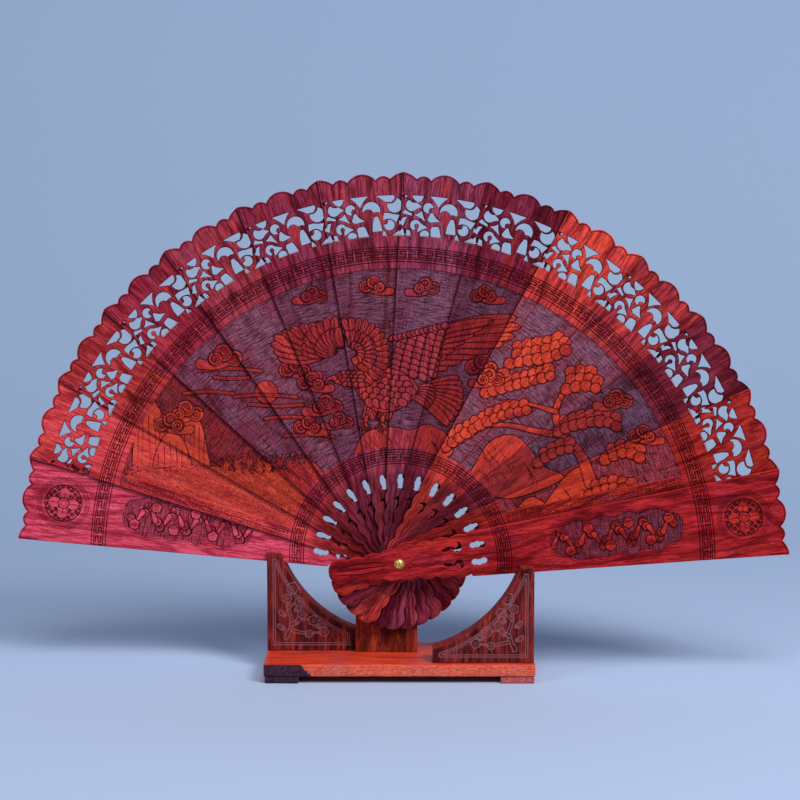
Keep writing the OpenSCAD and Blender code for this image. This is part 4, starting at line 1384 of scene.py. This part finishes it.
def star(x, y):
    """A small five-pointed stamp."""
    r, a = np.hypot(x, y), np.arctan2(y, x)
    rays = np.clip(1.2 - np.abs(np.sin(2.5 * (a - math.pi / 2))) * r / 0.30, 0, 1) * (r < 1.25)
    return np.clip(rays + np.clip(1.2 - np.abs(r - 1.5) / 0.14, 0, 1), 0, 1)


def dome_profile(radius, rise):
    """Points from a dome's top down to its rim, as radius and height."""
    ball = arc_radius(2 * radius, rise)
    rs = np.sqrt(np.linspace(0.0004, 1, DOME_STEPS)) * radius
    return [(r, rise - ball + math.sqrt(ball * ball - r * r)) for r in rs]


def node_radius(node):
    """Half the width of a round CAD node, in mm."""
    lo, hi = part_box(node)
    return (hi.x - lo.x) / MM / 2


def rivet():
    """The rivet with its stamped dome, and the cap on its rear end."""
    metal = brass()
    front_y, back_y = depth_range("rivet")
    fan_front = depth_range("guard_front")[0]
    dome_r, shank_end = node_radius("rivet"), fan_front - back_y
    profile = dome_profile(dome_r - 0.12, fan_front - front_y)
    profile += [(dome_r, 0.10), (dome_r - 0.06, 0.0), (SHANK_R, 0.0)]
    profile += [(SHANK_R, shank_end + 0.15), (SHANK_R - 0.15, shank_end), (0.05, shank_end)]
    head = lathe("fan_rivet", profile, (0, fan_front, PIVOT_Z), -1, star)
    hand_over(head, metal, "front_guard", "rivet")
    cap_front, cap_back = depth_range("rivet_rear_cap")
    cap_r, foot = node_radius("rivet_rear_cap"), cap_back - cap_front - CROWN_RISE
    profile = [(r, foot + h) for r, h in dome_profile(cap_r - 0.15, CROWN_RISE)]
    profile += [(cap_r, 0.85), (cap_r, 0.12), (cap_r - 0.12, 0.0)]
    profile += [(SHANK_R, 0.0), (SHANK_R, 0.9), (0.05, 0.9)]
    cap = lathe("fan_rivet_cap", profile, (0, cap_front, PIVOT_Z), 1)
    hand_over(cap, metal, "front_guard", "rivet_rear_cap")


def ply(k, middle_y, start_turn):
    """One ply of blade k's thread: rings of points round a path that winds round the thread's middle."""
    run = math.radians(THREAD_SPAN) * THREAD_R
    t = np.linspace(-0.5, 0.5, int(run / PLY_STEP) + 1)
    twist = 2 * math.pi * t * run / PLY_TURN + start_turn
    at = turn(k) + t * math.radians(THREAD_SPAN)
    out = np.stack([np.sin(at), 0 * at, np.cos(at)], 1)
    back = np.array([0, 1.0, 0])
    centre = np.stack([THREAD_R * np.sin(at), middle_y + 0 * at, PIVOT_Z + THREAD_R * np.cos(at)], 1)
    centre = centre + (PLY_R - 0.01) * (np.cos(twist)[:, None] * out + np.sin(twist)[:, None] * back)
    around = np.linspace(0, 2 * math.pi, PLY_SIDES + 1)[:-1]
    spoke = np.cos(around)[None, :, None] * out[:, None] + np.sin(around)[None, :, None] * back
    return centre[:, None] + (PLY_R - 0.005) * spoke


def threads():
    """Each blade's stretch of thread: two plies twisted together, lying in the groove in its back."""
    look = thread()
    for k in range(2, BLADES):
        name = f"tie_thread_{k:02d}"
        verts, loops, sizes = [], [], []
        for start_turn in (0, math.pi):
            tube = ply(k, sum(depth_range(name)) / 2, start_turn)
            rings = len(tube)
            index = len(verts) * rings * PLY_SIDES + np.arange(rings * PLY_SIDES).reshape(-1, PLY_SIDES)
            verts.append(tube.reshape(-1, 3))
            ahead = np.roll(index, -1, 1)
            quads = np.stack([index[:-1], ahead[:-1], ahead[1:], index[1:]], -1)
            loops += [quads.ravel(), index[0][::-1], index[-1]]
            sizes += [np.full((rings - 1) * PLY_SIDES, 4), [PLY_SIDES, PLY_SIDES]]
        verts = np.vstack(verts)
        loops, sizes = np.concatenate(loops), np.concatenate(sizes)
        stretch = build_mesh(f"fan_{name}", verts, loops, sizes, {"grain": verts}, NO_SHARP)
        hand_over(stretch, look, f"blade_{k:02d}", name)


# ---- The stand ----

PLANK_TOP = 10.0
# A bracket's sweep, the width of its tip and its height at the inner end
SWEEP_R = 66.0
TIP_W = 7.2
INNER_RIGHT, INNER_LEFT = 7.6, 11.2
PLAY = 0.3  # between the fan and the notches that it rests in
REST_DROP = ROOT_HALF_W * math.cos(math.atan(FLARE)) + PLAY
SADDLE_R = HEAD_R + 0.5
LAP = 0.25  # how far a bracket's layers run into each other
BRACKET_STEP, PLAIN_STEP, BLOCK_STEP = 0.36, 0.8, 0.6
# The plum branch on each bracket, from the outer lower corner. A branch is its points and its width, a flower
# its place and size, and a leaf its place and turn.
PLUM_BRANCHES = (
    (((10, 7), (13, 15), (11, 24), (13.5, 33)), 1.9),
    (((12.6, 14), (18, 17), (24, 16)), 1.5),
    (((11.2, 23), (16, 26.5)), 1.2),
    (((13.2, 11), (20, 9.5), (29, 10)), 1.4),
)
PLUM_FLOWERS = ((13.6, 33.5, 3.0), (10.5, 28, 2.3), (17, 26, 2.5), (24.5, 16.2, 2.7), (18.3, 19.4, 2.1),
                (30, 10.2, 2.4), (22, 9, 1.9))
PLUM_LEAVES = ((9.4, 19, 2.4), (15.4, 14.6, 0.9), (15, 21.5, 0.6), (26.6, 12.5, 0.4), (9, 12, 2.6))
WAVES = 7  # in a ripple
BOX_SHARP = math.radians(60)


def sweep_profile(width, height, inner_h):
    """Inside distance to a bracket's outline: outer side at x = 0, foot at z = 0."""
    tip, inner = np.array([TIP_W, height]), np.array([width, inner_h])
    chord = np.hypot(*(inner - tip))
    along = (inner - tip) / chord
    centre = (tip + inner) / 2 + math.sqrt(SWEEP_R**2 - chord**2 / 4) * np.array([-along[1], along[0]])
    slope = (inner_h - height) / (width - TIP_W)

    def value_at(x, z):
        d = np.minimum(np.minimum(x, z), np.minimum(width - x, height - z))
        chord_d = (height + slope * (x - TIP_W) - z) / math.hypot(1, slope)
        d = np.minimum(d, np.where(x > TIP_W, chord_d, FAR))
        return np.minimum(d, np.hypot(x - centre[0], z - centre[1]) - SWEEP_R)

    return value_at


def below_guard(side, x, z):
    """How far a point is under the line that the guard's lower edge rests on."""
    k = BLADES if side > 0 else 1
    slope = math.pi / 2 - side * turn(k) - math.atan(FLARE)
    return -(-side * math.sin(slope) * x + math.cos(slope) * (z - PIVOT_Z) + REST_DROP)


def even_grid(x0, x1, z0, z1, step):
    """A square grid over a rectangle and a step beyond."""
    x, z = np.arange(x0 - step, x1 + 2 * step, step), np.arange(z0 - step, z1 + 2 * step, step)
    return np.stack(np.meshgrid(x, z), -1)


def plain_face(radius=0.5):
    """A flat face with worn edges."""
    def carve(x, z, d):
        depth = 0.4 * (1 - np.clip(d / radius, 0, 1)) ** 2
        return {"depth": depth, "raised": 1.0, "cut": 0.0, "edge": np.clip(1 - d / 0.9, 0, 1)}

    return carve


def bracket_art(width, height, value_at):
    """A plum branch between two lines that follow the outline."""
    box = (-1, width + 1, -1, height + 1)
    panel = Panel(*box)
    for points, thick in PLUM_BRANCHES:
        strip(panel, points, thick, 0.9)
    for x, z, size in PLUM_FLOWERS:
        blossom(panel, x, z, size)
    for x, z, a in PLUM_LEAVES:
        feather(panel, (x, z), (x + 3.4 * math.cos(a), z + 3.4 * math.sin(a)), 0.4, 1.9, 0.9, 9.0)
    _, x, z = panel.window(*box)
    d = value_at(x, z)
    panel.cut = np.maximum.reduce([panel.cut, line_at(d, 3.3, 0.5), line_at(d, 4.4, 0.42)])
    return panel


def bracket(side):
    """A swept bracket in layers: a carved front, the notch that a guard lies in and, on the left, a wall."""
    name = "bracket_right" if side > 0 else "bracket_left"
    lo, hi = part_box(name)
    width, height = (hi.x - lo.x) / MM, (hi.z - lo.z) / MM
    front_y, back_y = depth_range(name)
    outer = (hi.x if side > 0 else lo.x) / MM
    profile = sweep_profile(width, height, INNER_RIGHT if side > 0 else INNER_LEFT)
    art = bracket_art(width, height, profile)
    if side > 0:
        notch = (depth_range("guard_front")[0] - PLAY, back_y)
    else:
        notch = (depth_range("guard_rear")[0] - PLAY, depth_range("guard_rear")[1] + PLAY)

    def world_x(x):
        return outer - side * x

    def rest_profile(x, z):
        return np.minimum(profile(x, z), below_guard(side, world_x(x), z + PLANK_TOP))

    def carved(x, z, d):
        base = plain_face(0.6)(x, z, d)
        raised = art.sample(art.height, x, z)
        groove = np.clip(art.sample(art.cut, x, z), 0, 1)
        lift = art.sample(art.raised, x, z) * (d > 5)
        base["depth"] = base["depth"] + 0.3 * groove + 0.12 * lift * (1 - raised)
        base["cut"] = 0.9 * groove
        return base

    def placed(y_front, y_back, flip):
        """flip turns the plate's front face to the back."""
        near, far = (y_back, y_front) if flip else (y_front, y_back)
        way = -1 if flip else 1

        def place(x, z, depth, from_back):
            y = far - way * depth if from_back else near + way * depth
            return np.stack([world_x(x), y, z + PLANK_TOP], 1)

        return place

    rest_end = notch[1] + (LAP if side < 0 else 0)
    layers = [(profile, carved, front_y, notch[0], False),
              (rest_profile, plain_face(), notch[0] - LAP, rest_end, False)]
    if side < 0:
        layers.append((profile, plain_face(0.6), notch[1], back_y, True))
    made = []
    for value_at, front, y0, y1, flip in layers:
        grid = even_grid(0, width, 0, height, BRACKET_STEP if front is carved else PLAIN_STEP)
        way = placed(y0, y1, flip)
        part = plate(f"stand_{name}", grid, value_at, front, plain_face(), way, seed=5.0 + 9 * side)
        # A layer that is mirrored comes out inside out
        if side > 0 or flip:
            part.data.flip_normals()
        made.append(part)
    with bpy.context.temp_override(active_object=made[0], selected_editable_objects=made):
        bpy.ops.object.join()
    made[0].name = f"stand_{name}"
    return made[0]


def rest_block():
    """The block under the fan's head, hollowed to fit it."""
    lo, hi = (np.array(c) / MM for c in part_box("rest_block"))
    (x0, y0, z0), (x1, y1, z1) = lo, hi

    def value_at(x, z):
        d = np.minimum(np.minimum(x - x0, x1 - x), np.minimum(z - z0, z1 - z))
        return np.minimum(d, np.hypot(x, z - PIVOT_Z) - SADDLE_R)

    def place(x, z, depth, from_back):
        return np.stack([x, y1 - depth if from_back else y0 + depth, z], 1)

    grid = even_grid(x0, x1, z0, z1, BLOCK_STEP)
    return plate("stand_rest_block", grid, value_at, plain_face(), plain_face(), place, seed=71.0)


def ripple(p, rng, size):
    """A few slow random waves."""
    total = np.zeros(len(p))
    for _ in range(WAVES):
        way = rng.normal(size=3)
        total += np.sin(p @ (way / np.linalg.norm(way)) * rng.uniform(0.15, 1.5) + rng.uniform(0, 6.3))
    return size * total / WAVES


def worn_box(node, radius, step, rough, rng):
    """A block with rounded, slightly uneven edges and faces."""
    lo, hi = (np.array(c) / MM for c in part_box(node))
    axes = []
    for a, b in zip(lo, hi):
        ease = radius * np.array([0, 0.12, 0.45, 1.0])
        inner = np.arange(a + radius + step, b - radius - 0.5 * step, step)
        axes.append(np.concatenate([a + ease, inner, b - ease[::-1]]))
    counts = [len(a) for a in axes]
    quads = []
    for axis in range(3):
        u, w = [i for i in range(3) if i != axis]
        iu, iw = np.meshgrid(np.arange(counts[u]), np.arange(counts[w]), indexing="ij")
        for end in (0, counts[axis] - 1):
            index = np.zeros(iu.shape + (3,), int)
            index[..., u], index[..., w], index[..., axis] = iu, iw, end
            ids = (index[..., 0] * counts[1] + index[..., 1]) * counts[2] + index[..., 2]
            face = np.stack([ids[:-1, :-1], ids[1:, :-1], ids[1:, 1:], ids[:-1, 1:]], -1).reshape(-1, 4)
            turned = (end == 0) != (axis == 1)
            quads.append(face[:, ::-1] if turned else face)
    quads = np.vstack(quads)
    used, loops = np.unique(quads, return_inverse=True)
    k = used % counts[2]
    j = (used // counts[2]) % counts[1]
    i = used // (counts[1] * counts[2])
    p = np.stack([axes[0][i], axes[1][j], axes[2][k]], 1)
    core = np.clip(p, lo + radius, hi - radius)
    out = p - core
    length = np.linalg.norm(out, axis=1)
    away = out / np.maximum(length, 1e-9)[:, None]
    worn = np.abs(0.035 + ripple(p, rng, 0.5)) * rough
    p = core + away * (radius - worn)[:, None]
    margin = np.sort(np.minimum(p - lo, hi - p), axis=1)
    edge = np.clip(1 - margin[:, 1] / 1.2, 0, 1)
    end = np.maximum(np.abs(away[:, 1]), np.abs(away[:, 0])) ** 2
    # The front's left end is stained
    stain = smooth_step(-p[:, 0] + 2.5 * np.sin(0.5 * p[:, 2]), 46, 50) * np.abs(away[:, 1])
    fields = {"grain": p, "edge": edge, "end": end, "stain": stain}
    return build_mesh(f"stand_{node}", p, loops.ravel(), np.full(len(quads), 4), fields, BOX_SHARP)


def stand():
    """All the stand's pieces, and the dowels' material."""
    rng = np.random.default_rng(21)
    tones = ("98322c", "581a1e", "1e080d", "b03a28", "3c141e")
    bracket_look = carved_wood("look_bracket", tones, 0.6, 0.5, BRACKET_CUT_HIGHLIGHT)
    block_look = carved_wood("look_rest_block", ("a83a26", "7a241c", "38120f", "bc4426", "501820"), 0.4)
    plank_look = sawn_wood("look_plank", ("e04a2c", "b83222", "70180f", "b04044"))
    foot_look = sawn_wood("look_foot", ("a04050", "7c2a3c", "381420", "5c2034"))
    hand_over(bracket(-1), bracket_look, "stand", "bracket_left")
    hand_over(bracket(1), bracket_look, "stand", "bracket_right")
    hand_over(rest_block(), block_look, "stand", "rest_block")
    for node, radius, step, rough, look, slot in (("base_plank", 0.7, 1.6, 0.5, plank_look, "wood_orange"),
                                                  ("foot_left", 0.5, 1.3, 0.8, foot_look, "wood_crimson"),
                                                  ("foot_right", 0.5, 1.3, 0.8, foot_look, "wood_crimson")):
        hand_over(worn_box(node, radius, step, rough, rng), look, "stand", node)
    # The hidden dowels are shown as the CAD has them
    slots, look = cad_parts["dowels"].data.materials, dowel_wood()
    if not slots:
        slots.append(look)
    for i in range(len(slots)):
        slots[i] = look


# ---- Stage, lights and camera ----

CAMERA_AT = (0.0003, -1.050, 0.247)
CAMERA_DOWN = 5.65
LENS = 91.8
LIT_FLOOR_TONE, SHADED_WALL_TONE, CLOUDY_TONE = hue("aebfde"), hue("98adca"), hue("9fb2d0")
AIM = (0, 0, 0.12)


def backdrop():
    """A pale seamless sweep: floor, a wide curve and a wall, with a faint mottling. The wall is painted
    darker than the floor, as painted shade.
    """
    front, back, bend, rise, wide = -3.2, 0.95, 0.55, 2.6, 4.0
    curve = np.linspace(0.06, math.pi / 2, 24)
    profile = [(front, 0.0), (back - bend, 0.0)]
    profile += [(back - bend + bend * math.sin(a), bend - bend * math.cos(a)) for a in curve]
    profile += [(back, rise)]
    verts = [(x, y, z) for y, z in profile for x in (-wide, wide)]
    faces = [(2 * i, 2 * i + 1, 2 * i + 3, 2 * i + 2) for i in range(len(profile) - 1)]
    mesh = bpy.data.meshes.new("backdrop")
    mesh.from_pydata(verts, [], faces)
    mesh.polygons.foreach_set("use_smooth", [True] * len(faces))
    obj = bpy.data.objects.new("backdrop", mesh)
    bpy.context.scene.collection.objects.link(obj)
    sh = Shader("look_backdrop")
    place = sh.place()
    cloudy = sh.noise(place, (0.9, 0.9, 0.9), 2.0)
    fibre = sh.noise(place, (60.0, 60.0, 60.0), 2.0)
    split = sh.node("ShaderNodeSeparateXYZ", Vector=place)
    # Painted shade: the sweep darkens from the floor towards the wall
    colour = sh.mix(sh.span(split.outputs["Y"], 0.0, 0.6), LIT_FLOOR_TONE, SHADED_WALL_TONE)
    colour = sh.mix(sh.span(cloudy, 0.3, 0.7, 0.0, 0.25), colour, CLOUDY_TONE)
    sh.bump(fibre, 0.0003, 0.15)
    mesh.materials.append(sh.finish(Base_Color=colour, Roughness=0.9))


def softbox(name, place, aim, size, power):
    """A white area light."""
    light = bpy.data.lights.new(name, "AREA")
    light.shape = "RECTANGLE"
    light.size, light.size_y = size
    light.energy = power
    obj = bpy.data.objects.new(name, light)
    bpy.context.scene.collection.objects.link(obj)
    obj.location = place
    obj.rotation_euler = (Vector(aim) - Vector(place)).to_track_quat("-Z", "Y").to_euler()


def lights():
    """Three soft lights and a pale sky."""
    softbox("key_right", (1.1, -1.35, 1.42), AIM, (0.75, 0.75), 34)
    softbox("front_top", (0.15, -1.1, 1.8), (0, 0.05, 0.12), (0.8, 0.6), 14)
    softbox("fill_left", (-1.5, -1.2, 1.2), AIM, (0.9, 0.9), 9)
    world = bpy.data.worlds.new("studio")
    bpy.context.scene.world = world
    world.use_nodes = True
    background = world.node_tree.nodes["Background"]
    background.inputs["Color"].default_value = (0.88, 0.93, 1.0, 1)
    background.inputs["Strength"].default_value = 0.22


def camera():
    """The camera at the photograph's angle."""
    data = bpy.data.cameras.new("camera")
    data.lens = LENS
    data.sensor_width = 36.0
    data.clip_start = 0.01
    obj = bpy.data.objects.new("camera", data)
    bpy.context.scene.collection.objects.link(obj)
    obj.location = CAMERA_AT
    obj.rotation_euler = (math.radians(90 - CAMERA_DOWN), 0, 0)
    bpy.context.scene.camera = obj


fan()
rivet()
threads()
stand()
backdrop()
lights()
camera()
bpy.context.scene.view_settings.view_transform = "Standard"
